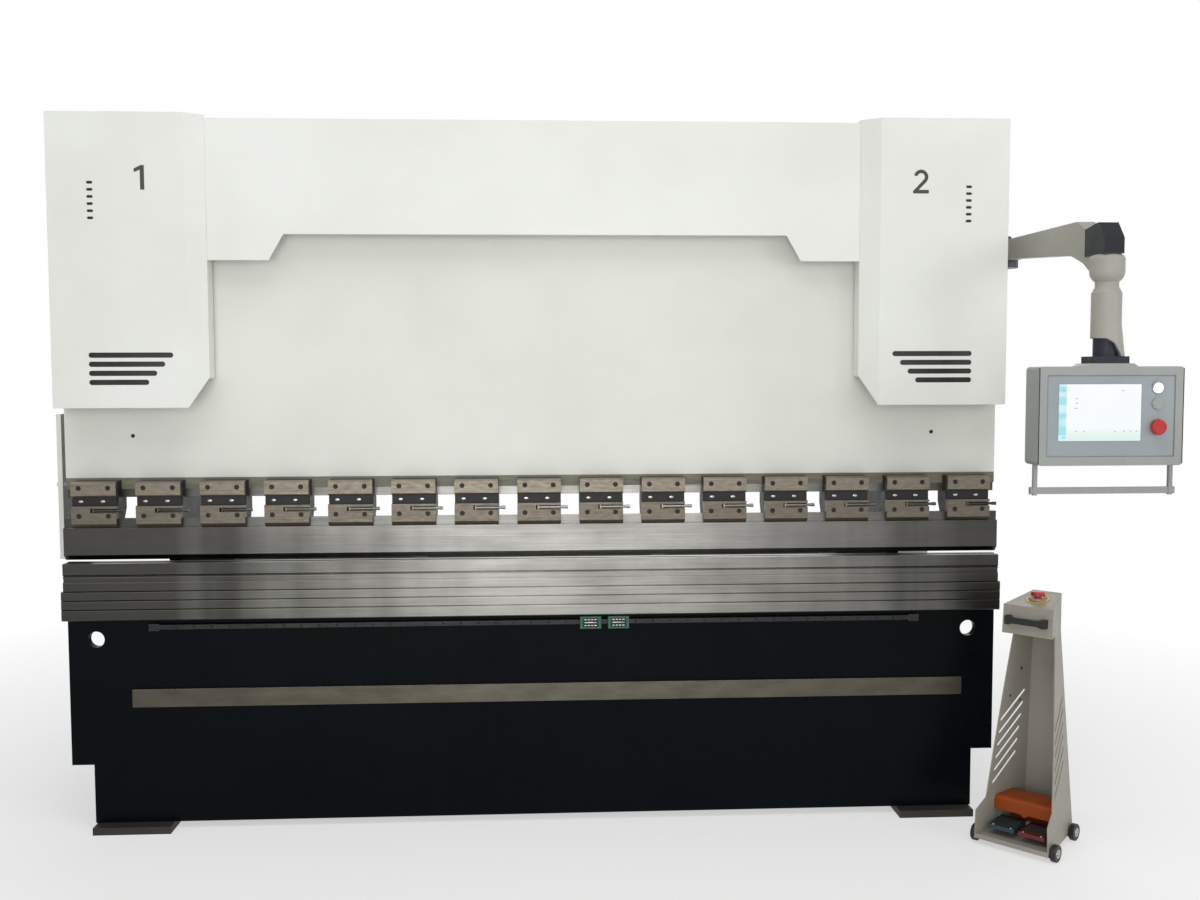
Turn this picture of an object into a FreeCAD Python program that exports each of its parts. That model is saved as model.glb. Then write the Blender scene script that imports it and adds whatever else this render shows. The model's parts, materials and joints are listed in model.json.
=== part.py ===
import FreeCAD, Part
import math
import os
from FreeCAD import Vector

# A hydraulic press brake with its control pendant and its foot-pedal console.
# X runs along the bending line, Y points from the operator to the rear, Z is up.
# While modelling, Y = 0 is the front face of the ram. On export everything is shifted
# so that the origin is the centre of the floor-anchor pattern, at floor level.

# Driving dimensions and what hangs from them, in millimetres

# Working length; the bed, the ram and the frames step back from its ends
WORK_HALF = 1600.0
DIE_END_STEP = 8.0
DIE_HALF = WORK_HALF - DIE_END_STEP
BED_END_STEP = 5.0
BED_HALF = WORK_HALF - BED_END_STEP
RAM_END_STEP = 6.0
RAM_HALF = WORK_HALF - RAM_END_STEP
TOOL_BAR_END_STEP = 10.0
TOOL_BAR_HALF = WORK_HALF - TOOL_BAR_END_STEP
FRAME_SETBACK = 275.0
FRAME_THICK = 45.0
FRAME_IN_X = WORK_HALF - FRAME_SETBACK
FRAME_OUT_X = FRAME_IN_X + FRAME_THICK
FRAME_MID_X = FRAME_IN_X + FRAME_THICK / 2

# Bed
BED_FRONT_Y = -20.0
BED_FRONT_THICK = 30.0
BED_CORE_THICK = 85.0
BED_CORE_FRONT_Y = BED_FRONT_Y + BED_FRONT_THICK
BED_REAR_Y = BED_CORE_FRONT_Y + BED_CORE_THICK
BED_TOP_Z = 731.0
BED_NOTCH_Z = 228.0
BED_NOTCH_W = 74.0
BED_NOTCH_X = BED_HALF - BED_NOTCH_W
BED_CORE_OVERHANG = 70.0
BED_CORE_HALF = FRAME_OUT_X + BED_CORE_OVERHANG
BED_CORE_BOTTOM_Z = 150.0
LIFT_HOLE_INSET = 93.0
LIFT_HOLE_X = BED_HALF - LIFT_HOLE_INSET
LIFT_HOLE_DROP = 71.0
LIFT_HOLE_Z = BED_TOP_Z - LIFT_HOLE_DROP
LIFT_HOLE_R = 27.5

# Front bar and rail
BAR_LEFT_INSET = 212.0
BAR_LEFT_X = BAR_LEFT_INSET - BED_HALF
BAR_RIGHT_INSET = 117.0
BAR_RIGHT_X = BED_HALF - BAR_RIGHT_INSET
BAR_HEIGHT = 61.5
BAR_DROP = 242.0
BAR_LOW_Z = BED_TOP_Z - BAR_DROP - BAR_HEIGHT
BAR_THICK = 12.0
RAIL_INSET = 309.0
RAIL_HALF = BED_HALF - RAIL_INSET
RAIL_HEIGHT = 20.0
RAIL_DROP = 18.0
RAIL_LOW_Z = BED_TOP_Z - RAIL_DROP - RAIL_HEIGHT
RAIL_THICK = 18.0
RAIL_WAIST = 3.0
STOP_LENGTH = 34.0
STOP_EXTRA = 2.0
CARRIAGE_LENGTH = 72.0
CARRIAGE_HEIGHT = 42.0
CARRIAGE_THICK = 16.0
CARRIAGE_WRAP = 12.0
CARRIAGE_GAP = 0.3
LEFT_CARRIAGE_X = 174.0
CARRIAGE_SPACE = 24.0
RIGHT_CARRIAGE_X = LEFT_CARRIAGE_X + CARRIAGE_LENGTH + CARRIAGE_SPACE

# Crowning table and die, from the bed upwards
STACK_FRONT_Y = -60.0
STACK_REAR_Y = 60.0
CROWN_BASE_H = 37.0
WEDGE_H = 31.0
HOLDER_H = 33.0
DIE_WIDTH = 60.0
DIE_HEIGHT = 62.0
EDGE_BEVEL = 3.0
TOP_V = 16.0
FRONT_V = 10.0
REAR_V = 22.0
FRONT_V_DROP = 42.0
DIE_FOOT_STEP = 5.0
DIE_FOOT_H = 14.0
HOLDER_LEDGE_T = 25.0
HOLDER_LEDGE_H = 22.0
DIE_PIN_R = 4.0
DIE_PIN_OUT = 5.0
DIE_PIN_PITCH = 26.0
CROWN_BASE_TOP_Z = BED_TOP_Z + CROWN_BASE_H
LOWER_WEDGE_TOP_Z = CROWN_BASE_TOP_Z + WEDGE_H
UPPER_WEDGE_TOP_Z = LOWER_WEDGE_TOP_Z + WEDGE_H
HOLDER_TOP_Z = UPPER_WEDGE_TOP_Z + HOLDER_H
DIE_TOP_Z = HOLDER_TOP_Z + DIE_HEIGHT
DIE_REAR_Y = STACK_FRONT_Y + DIE_WIDTH

# Punch
OPEN_GAP = 22.0
PUNCH_HEIGHT = 97.0
PUNCH_HALF = 18.0
PUNCH_WAIST = 9.0
PUNCH_HEEL_H = 40.0
PUNCH_HEEL_SLOPE = 20.0
PUNCH_SEGMENTS = 4
SEGMENT_GAP = 0.4
TANG_THICK = 14.0
TANG_HEIGHT = 31.0
PUNCH_LINE_Y = STACK_FRONT_Y + DIE_WIDTH / 2
PUNCH_FRONT_Y = PUNCH_LINE_Y - PUNCH_HALF
PUNCH_REAR_Y = PUNCH_LINE_Y + PUNCH_HALF
TANG_FRONT_Y = PUNCH_LINE_Y - TANG_THICK / 2
TANG_REAR_Y = PUNCH_LINE_Y + TANG_THICK / 2
PUNCH_TIP_Z = DIE_TOP_Z + OPEN_GAP
PUNCH_SHOULDER_Z = PUNCH_TIP_Z + PUNCH_HEIGHT
TANG_TOP_Z = PUNCH_SHOULDER_Z + TANG_HEIGHT

# Quick clamps, spread evenly over the tool bar
CLAMP_COUNT = 15
CLAMP_WIDTH = 148.0
CLAMP_END_GAP = 32.0
CLAMP_PITCH = (2 * (TOOL_BAR_HALF - CLAMP_END_GAP) - CLAMP_WIDTH) / (CLAMP_COUNT - 1)
CLAMP_PLATE_THICK = 22.0
CLAMP_FRONT_Y = STACK_FRONT_Y
CLAMP_PLATE_BACK_Y = CLAMP_FRONT_Y + CLAMP_PLATE_THICK
CLAMP_HEEL = 40.0
CLAMP_FOOT = 20.0
LOWER_PLATE_H = 74.0
LOWER_PLATE_TOP_Z = PUNCH_SHOULDER_Z + LOWER_PLATE_H
PLATE_SPACE = 31.0
UPPER_PLATE_LOW_Z = LOWER_PLATE_TOP_Z + PLATE_SPACE
UPPER_PLATE_H = 51.0
CLAMP_TOP_Z = UPPER_PLATE_LOW_Z + UPPER_PLATE_H
LOWER_BEVEL = 14.0
UPPER_BEVEL = 5.0
INSERT_SETBACK = 10.0
INSERT_FRONT_Y = CLAMP_FRONT_Y + INSERT_SETBACK
INSERT_SIDE_GAP = 2.0
GROOVE_H = 15.0
GROOVE_DROP = 15.0
GROOVE_Z = LOWER_PLATE_TOP_Z - GROOVE_DROP
GROOVE_DEPTH = 13.0
LEVER_R = 4.8
LEVER_HUB_R = 5.5
LEVER_PIVOT_X = -3.0
LEVER_TIP_OUT = 24.0
LEVER_REACH = CLAMP_WIDTH / 2 + LEVER_TIP_OUT - LEVER_PIVOT_X
LEVER_SETBACK = 6.5
LEVER_AXIS_Y = CLAMP_FRONT_Y + LEVER_SETBACK
LEVER_PIN_R = 3.0
LEVER_PIN_BITE = 3.0
PIN_CLEARANCE = 0.1
KNOB_R = 5.8
KNOB_LENGTH = 14.0
SEAT_GAP = 0.3

# Ram
RAM_THICK = 60.0
RAM_MID_Y = RAM_THICK / 2
TOOL_BAR_H = 28.0
CLAMP_UNDER_BAR = 99.0
TOOL_BAR_LOW_Z = PUNCH_SHOULDER_Z + CLAMP_UNDER_BAR
CLAMP_REAR_STEP = 15.0
CLAMP_REAR_Y = RAM_THICK - CLAMP_REAR_STEP
RAM_BOTTOM_Z = TOOL_BAR_LOW_Z + TOOL_BAR_H
RAM_SKIRT_H = 329.0
RAM_SHOULDER_Z = RAM_BOTTOM_Z + RAM_SKIRT_H
RAM_NECK_H = 560.0
RAM_TOP_Z = RAM_SHOULDER_Z + RAM_NECK_H
RAM_CORNER_R = 60.0

# Cylinders, over the ram's shoulders
CYLINDER_X = FRAME_MID_X
CYLINDER_R = 100.0
RAM_HEADROOM = 190.0
CYLINDER_LOW_Z = RAM_SHOULDER_Z + RAM_HEADROOM
CYLINDER_H = 430.0
CYLINDER_TOP_Z = CYLINDER_LOW_Z + CYLINDER_H
CYLINDER_CAP_H = 45.0
CYLINDER_CAP_EXTRA = 4.0
CYLINDER_FLANGE_HALF = 125.0
CYLINDER_FLANGE_H = 70.0
NECK_GAP = 22.5
RAM_NECK_HALF = CYLINDER_X - CYLINDER_FLANGE_HALF - NECK_GAP
ROD_R = 29.0
ROD_CLEARANCE = 0.3
ROD_REACH = 120.0

# Side frames and ram guides
FRAME_REAR_Y = 1250.0
FRAME_OVER_CYLINDER = 30.0
FRAME_TOP_Z = CYLINDER_TOP_Z + FRAME_OVER_CYLINDER
FRAME_BEHIND_RAM = 80.0
FRAME_TOP_FRONT_Y = RAM_THICK + FRAME_BEHIND_RAM
FRAME_SLOPE_H = 400.0
FRAME_SLOPE_Z = FRAME_TOP_Z - FRAME_SLOPE_H
FRAME_SLOPE_Y = 150.0
THROAT_BACK_Y = 370.0
THROAT_OVER_BED = 29.0
THROAT_LOW_Z = BED_TOP_Z + THROAT_OVER_BED
THROAT_OVER_RAM = 79.0
THROAT_TOP_Z = RAM_BOTTOM_Z + THROAT_OVER_RAM
THROAT_R = 70.0
FRAME_ARCH_Z = 120.0
FRAME_ARCH_MARGIN = 200.0
GUIDE_FOOT_GAP = 20.0
GUIDE_LOW_Z = THROAT_TOP_Z + GUIDE_FOOT_GAP
GUIDE_HEAD_GAP = 30.0
GUIDE_TOP_Z = CYLINDER_LOW_Z - GUIDE_HEAD_GAP
GUIDE_HALF = 40.0
GUIDE_GAP = 0.4

# Feet; the origin is the middle of the anchor pattern
FOOT_THICK = 25.0
FOOT_INWARD = 70.0
FOOT_IN_X = FRAME_IN_X - FOOT_INWARD
FOOT_OUTWARD = 145.0
FOOT_OUT_X = FRAME_OUT_X + FOOT_OUTWARD
FOOT_LENGTH = 260.0
FOOT_FORWARD = 50.0
FOOT_FRONT_Y = BED_FRONT_Y - FOOT_FORWARD
FOOT_REAR_STEP = 60.0
REAR_FOOT_FRONT_Y = FRAME_REAR_Y - FOOT_LENGTH - FOOT_REAR_STEP
ANCHOR_R = 16.0
ANCHOR_INSET = 65.0
ANCHOR_X = FOOT_OUT_X - ANCHOR_INSET
FRONT_ANCHOR_INSET = 205.0
FRONT_ANCHOR_Y = FOOT_FRONT_Y + FRONT_ANCHOR_INSET
REAR_ANCHOR_INSET = 135.0
REAR_ANCHOR_Y = REAR_FOOT_FRONT_Y + REAR_ANCHOR_INSET
ORIGIN_Y = (FRONT_ANCHOR_Y + REAR_ANCHOR_Y) / 2

# Covers and header, folded sheet
SHEET = 3.0
COVER_END_STEP = 15.0
COVER_OUT_X = WORK_HALF - COVER_END_STEP
COVER_FACE_W = 437.0
COVER_EDGE_X = COVER_OUT_X - COVER_FACE_W
COVER_BEVEL_W = 59.0
COVER_IN_X = COVER_EDGE_X - COVER_BEVEL_W
COVER_FRONT_Y = -113.0
HEADER_FRONT_Y = -70.0
COVER_RETURN_Y = -8.0
COVER_BEHIND_THROAT = 60.0
COVER_REAR_Y = THROAT_BACK_Y + COVER_BEHIND_THROAT
COVER_LAP = 53.0
COVER_LOW_Z = RAM_SHOULDER_Z - COVER_LAP
COVER_OVER_CYLINDER = 284.0
COVER_TOP_Z = CYLINDER_TOP_Z + COVER_OVER_CYLINDER
COVER_CHAMFER_H = 100.0
COVER_CHAMFER_Z = COVER_LOW_Z + COVER_CHAMFER_H
COVER_LIP = 25.0
RAM_SLOT_H = 160.0
RAM_SLOT_TOP_Z = RAM_SHOULDER_Z + RAM_SLOT_H
RAM_SLOT_MARGIN = 8.0
SMALL_SLOT_INSET = 127.0
SMALL_SLOT_X = COVER_OUT_X - SMALL_SLOT_INSET
SMALL_SLOT_W = 20.0
SMALL_SLOT_H = 9.0
SMALL_SLOT_DROP = 226.0
SMALL_SLOT_TOP_Z = COVER_TOP_Z - SMALL_SLOT_DROP
SMALL_SLOT_PITCH = 22.8
SMALL_SLOT_COUNT = 6
LONG_SLOT_INSET = 119.0
LONG_SLOT_OUT_X = COVER_OUT_X - LONG_SLOT_INSET
LONG_SLOT_H = 17.0
LONG_SLOT_RISE = 173.0
LONG_SLOT_TOP_Z = COVER_LOW_Z + LONG_SLOT_RISE
LONG_SLOT_PITCH = 29.6
LONG_SLOT_LENGTH = 272.0
LONG_SLOT_STEP = 26.5
LONG_SLOT_COUNT = 4
HEADER_TOP_STEP = 9.0
HEADER_TOP_Z = COVER_TOP_Z - HEADER_TOP_STEP
HEADER_H = 462.0
HEADER_LOW_Z = HEADER_TOP_Z - HEADER_H
HEADER_EAR_W = 200.0
HEADER_STEP_X = COVER_IN_X - HEADER_EAR_W
HEADER_SLANT_W = 50.0
HEADER_WINDOW_X = HEADER_STEP_X - HEADER_SLANT_W
HEADER_SLANT_H = 86.0
HEADER_WINDOW_Z = HEADER_LOW_Z + HEADER_SLANT_H
HEADER_FLANGE = 22.0

# Hydraulics and rear
TIE_SETBACK = 30.0
TIE_FRONT_Y = FRAME_TOP_FRONT_Y + TIE_SETBACK
TIE_THICK = 30.0
TIE_RISE = 10.0
TIE_LOW_Z = CYLINDER_LOW_Z + TIE_RISE
TANK_REAR_GAP = 350.0
TANK_REAR_Y = FRAME_REAR_Y - TANK_REAR_GAP
TANK_DEPTH = 300.0
TANK_FRONT_Y = TANK_REAR_Y - TANK_DEPTH
TANK_TOP_DROP = 50.0
TANK_TOP_Z = FRAME_TOP_Z - TANK_TOP_DROP
TANK_H = 350.0
TANK_LOW_Z = TANK_TOP_Z - TANK_H
FILLER_R = 38.0
FILLER_H = 60.0
MOTOR_X = -260.0
MOTOR_R = 95.0
MOTOR_LENGTH = 300.0
MOTOR_LIFT = 12.0
MOTOR_FOOT_INSET = 40.0
MOTOR_FIN_COUNT = 9
MOTOR_FIN_R = 104.0
PUMP_R = 60.0
PUMP_LENGTH = 130.0
GUARD_LOW_Z = 150.0
GUARD_OVER_BED = 149.0
GUARD_TOP_Z = BED_TOP_Z + GUARD_OVER_BED
GUARD_INSET = 60.0
GUARD_Y = FRAME_REAR_Y - GUARD_INSET
GUARD_FLANGE = 30.0
GUARD_SLOT_W = 160.0
GUARD_SLOT_H = 12.0
GUARD_SLOT_ROWS = 4
GUARD_SLOT_COLUMNS = 3
CABINET_DEPTH = 205.0
CABINET_REAR_GAP = 50.0
CABINET_REAR_Y = FRAME_REAR_Y - CABINET_REAR_GAP
CABINET_W = 560.0
CABINET_FRONT_Y = CABINET_REAR_Y - CABINET_W
CABINET_TOP_GAP = 50.0
CABINET_TOP_Z = FRAME_SLOPE_Z - CABINET_TOP_GAP
CABINET_H = 940.0
CABINET_LOW_Z = CABINET_TOP_Z - CABINET_H
CABINET_DOOR = 18.0
CABINET_DOOR_INSET = 8.0

# Back gauge
GAUGE_ARM_INSET = 425.0
GAUGE_ARM_X = FRAME_IN_X - GAUGE_ARM_INSET
GAUGE_ARM_HALF = 35.0
GAUGE_ARM_DROP = 21.0
GAUGE_ARM_TOP_Z = BED_TOP_Z - GAUGE_ARM_DROP
GAUGE_ARM_H = 90.0
GAUGE_ARM_REAR_GAP = 530.0
GAUGE_ARM_REAR_Y = FRAME_REAR_Y - GAUGE_ARM_REAR_GAP
GAUGE_GUSSET = 120.0
GAUGE_GUSSET_FOOT = 60.0
GAUGE_RAIL_HALF = 12.0
GAUGE_RAIL_H = 20.0
GAUGE_RAIL_INSET = 20.0
GAUGE_BLOCK_HALF = 40.0
GAUGE_BLOCK_LIFT = 6.0
GAUGE_BLOCK_EXTRA = 20.0
GAUGE_BEAM_INSET = 175.0
GAUGE_BEAM_HALF = FRAME_IN_X - GAUGE_BEAM_INSET
GAUGE_BEAM_SETBACK = 70.0
GAUGE_BEAM_FRONT_Y = THROAT_BACK_Y + GAUGE_BEAM_SETBACK
GAUGE_BEAM_THICK = 80.0
GAUGE_BLOCK_TOP = 22.0
GAUGE_BEAM_LOW_Z = GAUGE_ARM_TOP_Z + GAUGE_RAIL_H + GAUGE_BLOCK_TOP
FINGER_X = 420.0
FINGER_HALF = 22.0
FINGER_TIP_GAP = 15.0
FINGER_TIP_Y = STACK_REAR_Y + FINGER_TIP_GAP
FINGER_UNDER = 20.0
FINGER_LOW_Z = DIE_TOP_Z - FINGER_UNDER
FINGER_OVER = 20.0
FINGER_TOP_Z = DIE_TOP_Z + FINGER_OVER
FINGER_STEP = 15.0
FINGER_REST = 60.0
FINGER_POST_HALF = 30.0
FINGER_BEAM_GAP = 13.0
GAUGE_BEAM_TOP_Z = FINGER_LOW_Z - FINGER_BEAM_GAP

# Pendant arm
PENDANT_OUT = 110.0
PENDANT_X = COVER_OUT_X + PENDANT_OUT
PENDANT_PIVOT_Y = 190.0
PENDANT_ARM_LENGTH = 790.0
PENDANT_Y = PENDANT_PIVOT_Y - PENDANT_ARM_LENGTH
ARM_EYE_R = 45.0
ARM_EYE_H = 70.0
ARM_EYE_DROP = 192.0
ARM_EYE_LOW_Z = FRAME_TOP_Z - ARM_EYE_DROP
ARM_EYE_TOP_Z = ARM_EYE_LOW_Z + ARM_EYE_H
SPINDLE_R = 20.0
SPINDLE_OVER = 18.0
SPINDLE_TOP_Z = ARM_EYE_TOP_Z + SPINDLE_OVER
SUPPORT_OUT = 40.0
SUPPORT_END_X = COVER_OUT_X + SUPPORT_OUT
SUPPORT_HALF = 45.0
SUPPORT_LEDGE = 25.0
SUPPORT_HOLE_GAP = 5.0
ARM_W = 56.0
ARM_KNEE_Y = 140.0
ARM_KNEE_DROP = 34.0
ARM_THROAT_Y = 94.0
ARM_THROAT_DROP = 41.0
ARM_THROAT_MID_Y = 15.0
ARM_THROAT_MID_DROP = 69.0
ARM_RISE_Y = 61.0
ARM_RISE_DROP = 8.0
CAP_REAR = 88.0
CAP_FRONT = 43.0
CAP_SIDE = 2.0
CAP_DROP = 28.0
CAP_TOP_Z = ARM_EYE_TOP_Z - CAP_DROP
CAP_H = 95.0
CAP_CHAMFER_Y = 40.0
CAP_CHAMFER_Z = 49.0
CAP_FALL_Y = 78.0
CAP_FALL_Z = 12.0
DOME_R = 50.0
DOME_EDGE_R = 16.0
DOME_H = 52.0
DOME_LOW_Z = CAP_TOP_Z - CAP_H - DOME_H
DOME_TAPER_H = 29.0
DOME_BULGE = 3.0
NECK_R = 34.0
NECK_H = 44.0
TUBE_R = 43.5
TUBE_TOP_Z = DOME_LOW_Z - NECK_H
TUBE_SHOULDER_H = 18.0
TUBE_FLARE_H = 97.0
TUBE_FLARE_R = 49.0
TUBE_FLARE_X = 5.5
TUBE_H = 206.0
TUBE_LOW_Z = TUBE_TOP_Z - TUBE_H
TUBE_CUT_H = 58.0

# Pendant box, under the swivel
SWIVEL_R = 36.0
SWIVEL_GAP = 0.5
SPIGOT_H = 52.0
SWIVEL_TOP_Z = TUBE_LOW_Z + SPIGOT_H
SWIVEL_BORE_GAP = 1.0
SWIVEL_BASE_W = 108.0
SWIVEL_BASE_D = 84.0
SWIVEL_BASE_H = 21.0
BOX_HALF = 220.0
BOX_HEIGHT = 294.0
BOX_PEAK_H = 9.0
BOX_PEAK_HALF = 66.0
BOX_PEAK_SLOPE = 14.0
BOX_TOP_Z = TUBE_LOW_Z - SWIVEL_GAP - SWIVEL_BASE_H - BOX_PEAK_H
BOX_LOW_Z = BOX_TOP_Z - BOX_HEIGHT
BOX_DEPTH = 95.0
BOX_EDGE_R = 12.0
BOX_PANEL_MARGIN = 26.0
BOX_PANEL_DEPTH = 4.0
HANDLE_BAR_H = 20.0
HANDLE_BAR_THICK = 9.0
HANDLE_LEG = 12.0
HANDLE_LEG_OUT = 4.0
HANDLE_DROP = 78.0
HANDLE_OVERHANG = 2.0
HANDLE_HALF = BOX_HALF + HANDLE_OVERHANG
HANDLE_LEG_INSET = 8.0
ESTOP_X = 141.0
ESTOP_DROP = 180.0
ESTOP_Z = BOX_TOP_Z - ESTOP_DROP
ESTOP_CAP_R = 22.0
ESTOP_CAP_H = 14.0
ESTOP_CAP_ROUND = 5.0
ESTOP_STEM_R = 11.0
ESTOP_STEM_H = 16.0
ESTOP_SINK = 4.0
LAMP_DROP = 58.0
LAMP_Z = BOX_TOP_Z - LAMP_DROP
LAMP_R = 17.0
LAMP_H = 6.0
BUTTON_DROP = 110.0
BUTTON_Z = BOX_TOP_Z - BUTTON_DROP

# Side guard
GUARD_OFFSET = 37.0
GUARD_X = -WORK_HALF - GUARD_OFFSET
GUARD_FRONT_Y = 62.0
GUARD_DEPTH = 238.0
GUARD_HINGE_Y = GUARD_FRONT_Y + GUARD_DEPTH
SIDE_GUARD_LOW_Z = DIE_TOP_Z
SIDE_GUARD_H = 497.0
SIDE_GUARD_TOP_Z = SIDE_GUARD_LOW_Z + SIDE_GUARD_H
GUARD_EDGE = 16.0
POST_R = 9.0
POST_OVERHANG = 3.0
POST_ARM_H = 16.0
POST_ARM_W = 50.0
POST_ARM_FOOT = 40.0
SLEEVE_H = 60.0
SLEEVE_INSET = 40.0
SLEEVE_WALL = 5.0
GUARD_HOLE_R = 4.0
GUARD_HOLE_ROWS = 5
GUARD_HOLE_PITCH = 18.5
GUARD_HOLE_SETBACK = 59.0
GUARD_HOLE_Y = GUARD_FRONT_Y + GUARD_HOLE_SETBACK
GUARD_HOLE_STEP = 46.0
GUARD_HOLE_INSET = 12.0
GUARD_GRID_DROP = 95.0
KNOB_RISE = 255.0
KNOB_Z = SIDE_GUARD_LOW_Z + KNOB_RISE
GUARD_KNOB_R = 7.0
GUARD_KNOB_OUT = 18.0
GUARD_KNOB_LENGTH = 30.0
GUARD_KNOB_INSET = 25.0

# Foot console, in its own frame: U to its right, V from its front to its back
CONSOLE_INSET = 83.0
CONSOLE_X = WORK_HALF - CONSOLE_INSET
CONSOLE_Y = -397.0
CONSOLE_YAW = -46.5
CONSOLE_LOW_Z = 20.0
CONSOLE_NECK_Z = 703.0
CONSOLE_BASE_HALF = 125.0
CONSOLE_BASE_REAR_HALF = 86.0
CONSOLE_BASE_DEPTH = 287.0
CONSOLE_NECK_HALF = 103.0
CONSOLE_NECK_REAR_HALF = 48.0
CONSOLE_NECK_DEPTH = 247.0
CONSOLE_SKIRT_Z = 115.0
CONSOLE_LEDGE_V = 54.0
CONSOLE_LEDGE_Z = 147.0
CONSOLE_EDGE_V = 149.0
CONSOLE_LEAD = 20.0
CONSOLE_PAN_H = 10.0
CONSOLE_PAN_Z = CONSOLE_LOW_Z + CONSOLE_PAN_H
CONSOLE_LIP_H = 16.0
CONSOLE_LIP_Z = CONSOLE_LOW_Z + CONSOLE_LIP_H
WALL_SLOT_COUNT = 6
WALL_SLOT_LENGTH = 140.0
WALL_SLOT_H = 11.0
WALL_SLOT_RISE = 36.0
WALL_SLOT_V = 88.0
WALL_SLOT_V_STEP = 5.0
WALL_SLOT_Z = 190.0
WALL_SLOT_PITCH = 42.0
HEAD_FRONT_HALF = 85.0
HEAD_REAR_HALF = 48.0
HEAD_FRONT_V = 99.0
HEAD_LEAN = 6.0
HEAD_FRONT_H = 90.0
HEAD_FRONT_Z = CONSOLE_NECK_Z + HEAD_FRONT_H
HEAD_REAR_H = 122.0
HEAD_REAR_Z = CONSOLE_NECK_Z + HEAD_REAR_H
HEAD_OVERLAP = 4.0
CONSOLE_ESTOP_V = 172.0
ESTOP_COLLAR_R = 28.0
ESTOP_COLLAR_H = 4.0
CASTER_R = 28.0
CASTER_W = 18.0
CASTER_OUT = 5.0
CASTER_V = 34.0
CASTER_FORK = 8.0
CASTER_FORK_HALF = 13.0
CASTER_FORK_REACH = 22.0
CASTER_EDGE_R = 3.0
GRIP_HALF = 68.0
GRIP_DROP = 47.0
GRIP_Z = HEAD_FRONT_Z - GRIP_DROP
GRIP_OUT = 24.0
GRIP_END_H = 28.0
GRIP_END_W = 16.0
GRIP_MID_H = 19.0
GRIP_SLOPE = 10.0
GRIP_THICK = 11.0
HOOD_LOW_Z = 91.0
HOOD_ARCH = 8.0
HOOD_POST_HALF = 5.0
HOOD_TOP_Z = 146.0
HOOD_FRONT_V = 100.0
HOOD_REAR_V = 200.0
HOOD_ROUND = 14.0
HOOD_WALL_GAP = 1.5
PEDAL_W = 88.0
PEDAL_LENGTH = 100.0
PEDAL_THICK = 12.0
PEDAL_DROP = 4.0
PEDAL_Z = 56.0
PEDAL_FRONT_V = 38.0
PEDAL_OFFSET_U = 51.0
PEDAL_PIN_R = 4.0
PEDAL_LUG = 6.0
PEDAL_BOSS_WALL = 4.0


def box(x0, x1, y0, y1, z0, z1):
    """A block between two corners."""
    return Part.makeBox(x1 - x0, y1 - y0, z1 - z0, Vector(x0, y0, z0))


def prism(points, direction):
    """A closed outline pushed along a direction."""
    wire = Part.makePolygon(list(points) + [points[0]])
    return Part.Face(wire).extrude(direction)


def prism_xz(outline, y0, y1):
    """An outline of X, Z points pushed from y0 to y1."""
    return prism([Vector(x, y0, z) for x, z in outline], Vector(0, y1 - y0, 0))


def prism_yz(outline, x0, x1):
    """An outline of Y, Z points pushed from x0 to x1."""
    return prism([Vector(x0, y, z) for y, z in outline], Vector(x1 - x0, 0, 0))


def prism_xy(outline, z0, z1):
    """An outline of X, Y points pushed from z0 to z1."""
    return prism([Vector(x, y, z0) for x, y in outline], Vector(0, 0, z1 - z0))


def rod(start, direction, length, radius):
    """A round bar from a start point."""
    return Part.makeCylinder(radius, length, start, direction)


def mirrored(shape):
    """The same shape on the other side of the machine's mid-plane."""
    return shape.mirror(Vector(0, 0, 0), Vector(1, 0, 0))


def joined(shapes):
    """Several touching shapes as one solid."""
    first = shapes[0]
    return first.fuse(shapes[1:]).removeSplitter()


def rounded(shape, radius, keep):
    """Rounds the edges for which keep(edge) is true."""
    edges = [edge for edge in shape.Edges if keep(edge)]
    return shape.makeFillet(radius, edges)


def runs_along(edge, axis):
    """True for a straight edge parallel to an axis."""
    if len(edge.Vertexes) != 2:
        return False
    step = edge.Vertexes[1].Point.sub(edge.Vertexes[0].Point)
    across = step.cross(axis)
    return step.Length > 0.01 and across.Length < 0.001 * step.Length


# Side frames and feet

def side_frame():
    """The right C frame: a thick plate with the throat cut into its front."""
    arch_front = BED_REAR_Y + FRAME_ARCH_MARGIN
    arch_rear = FRAME_REAR_Y - FRAME_ARCH_MARGIN
    arch_slope = FRAME_ARCH_Z - FOOT_THICK
    outline = [
        (BED_REAR_Y, FOOT_THICK),
        (arch_front, FOOT_THICK),
        (arch_front + arch_slope, FRAME_ARCH_Z),
        (arch_rear - arch_slope, FRAME_ARCH_Z),
        (arch_rear, FOOT_THICK),
        (FRAME_REAR_Y, FOOT_THICK),
        (FRAME_REAR_Y, FRAME_SLOPE_Z),
        (FRAME_REAR_Y - FRAME_SLOPE_Y, FRAME_TOP_Z),
        (FRAME_TOP_FRONT_Y, FRAME_TOP_Z),
        (FRAME_TOP_FRONT_Y, THROAT_TOP_Z),
        (THROAT_BACK_Y, THROAT_TOP_Z),
        (THROAT_BACK_Y, THROAT_LOW_Z),
        (BED_REAR_Y, THROAT_LOW_Z),
    ]
    plate = prism_yz(outline, FRAME_IN_X, FRAME_OUT_X)

    def throat_corner(edge):
        if not runs_along(edge, Vector(1, 0, 0)):
            return False
        point = edge.CenterOfMass
        at_back = abs(point.y - THROAT_BACK_Y) < 0.01
        return at_back and THROAT_LOW_Z - 1 < point.z < THROAT_TOP_Z + 1

    return rounded(plate, THROAT_R, throat_corner)


def foot_plate(front_y, anchor_y):
    """One floor plate with its anchor hole."""
    plate = box(FOOT_IN_X, FOOT_OUT_X, front_y, front_y + FOOT_LENGTH, 0, FOOT_THICK)
    hole = rod(Vector(ANCHOR_X, anchor_y, -1), Vector(0, 0, 1), FOOT_THICK + 2, ANCHOR_R)
    return plate.cut(hole)


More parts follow.
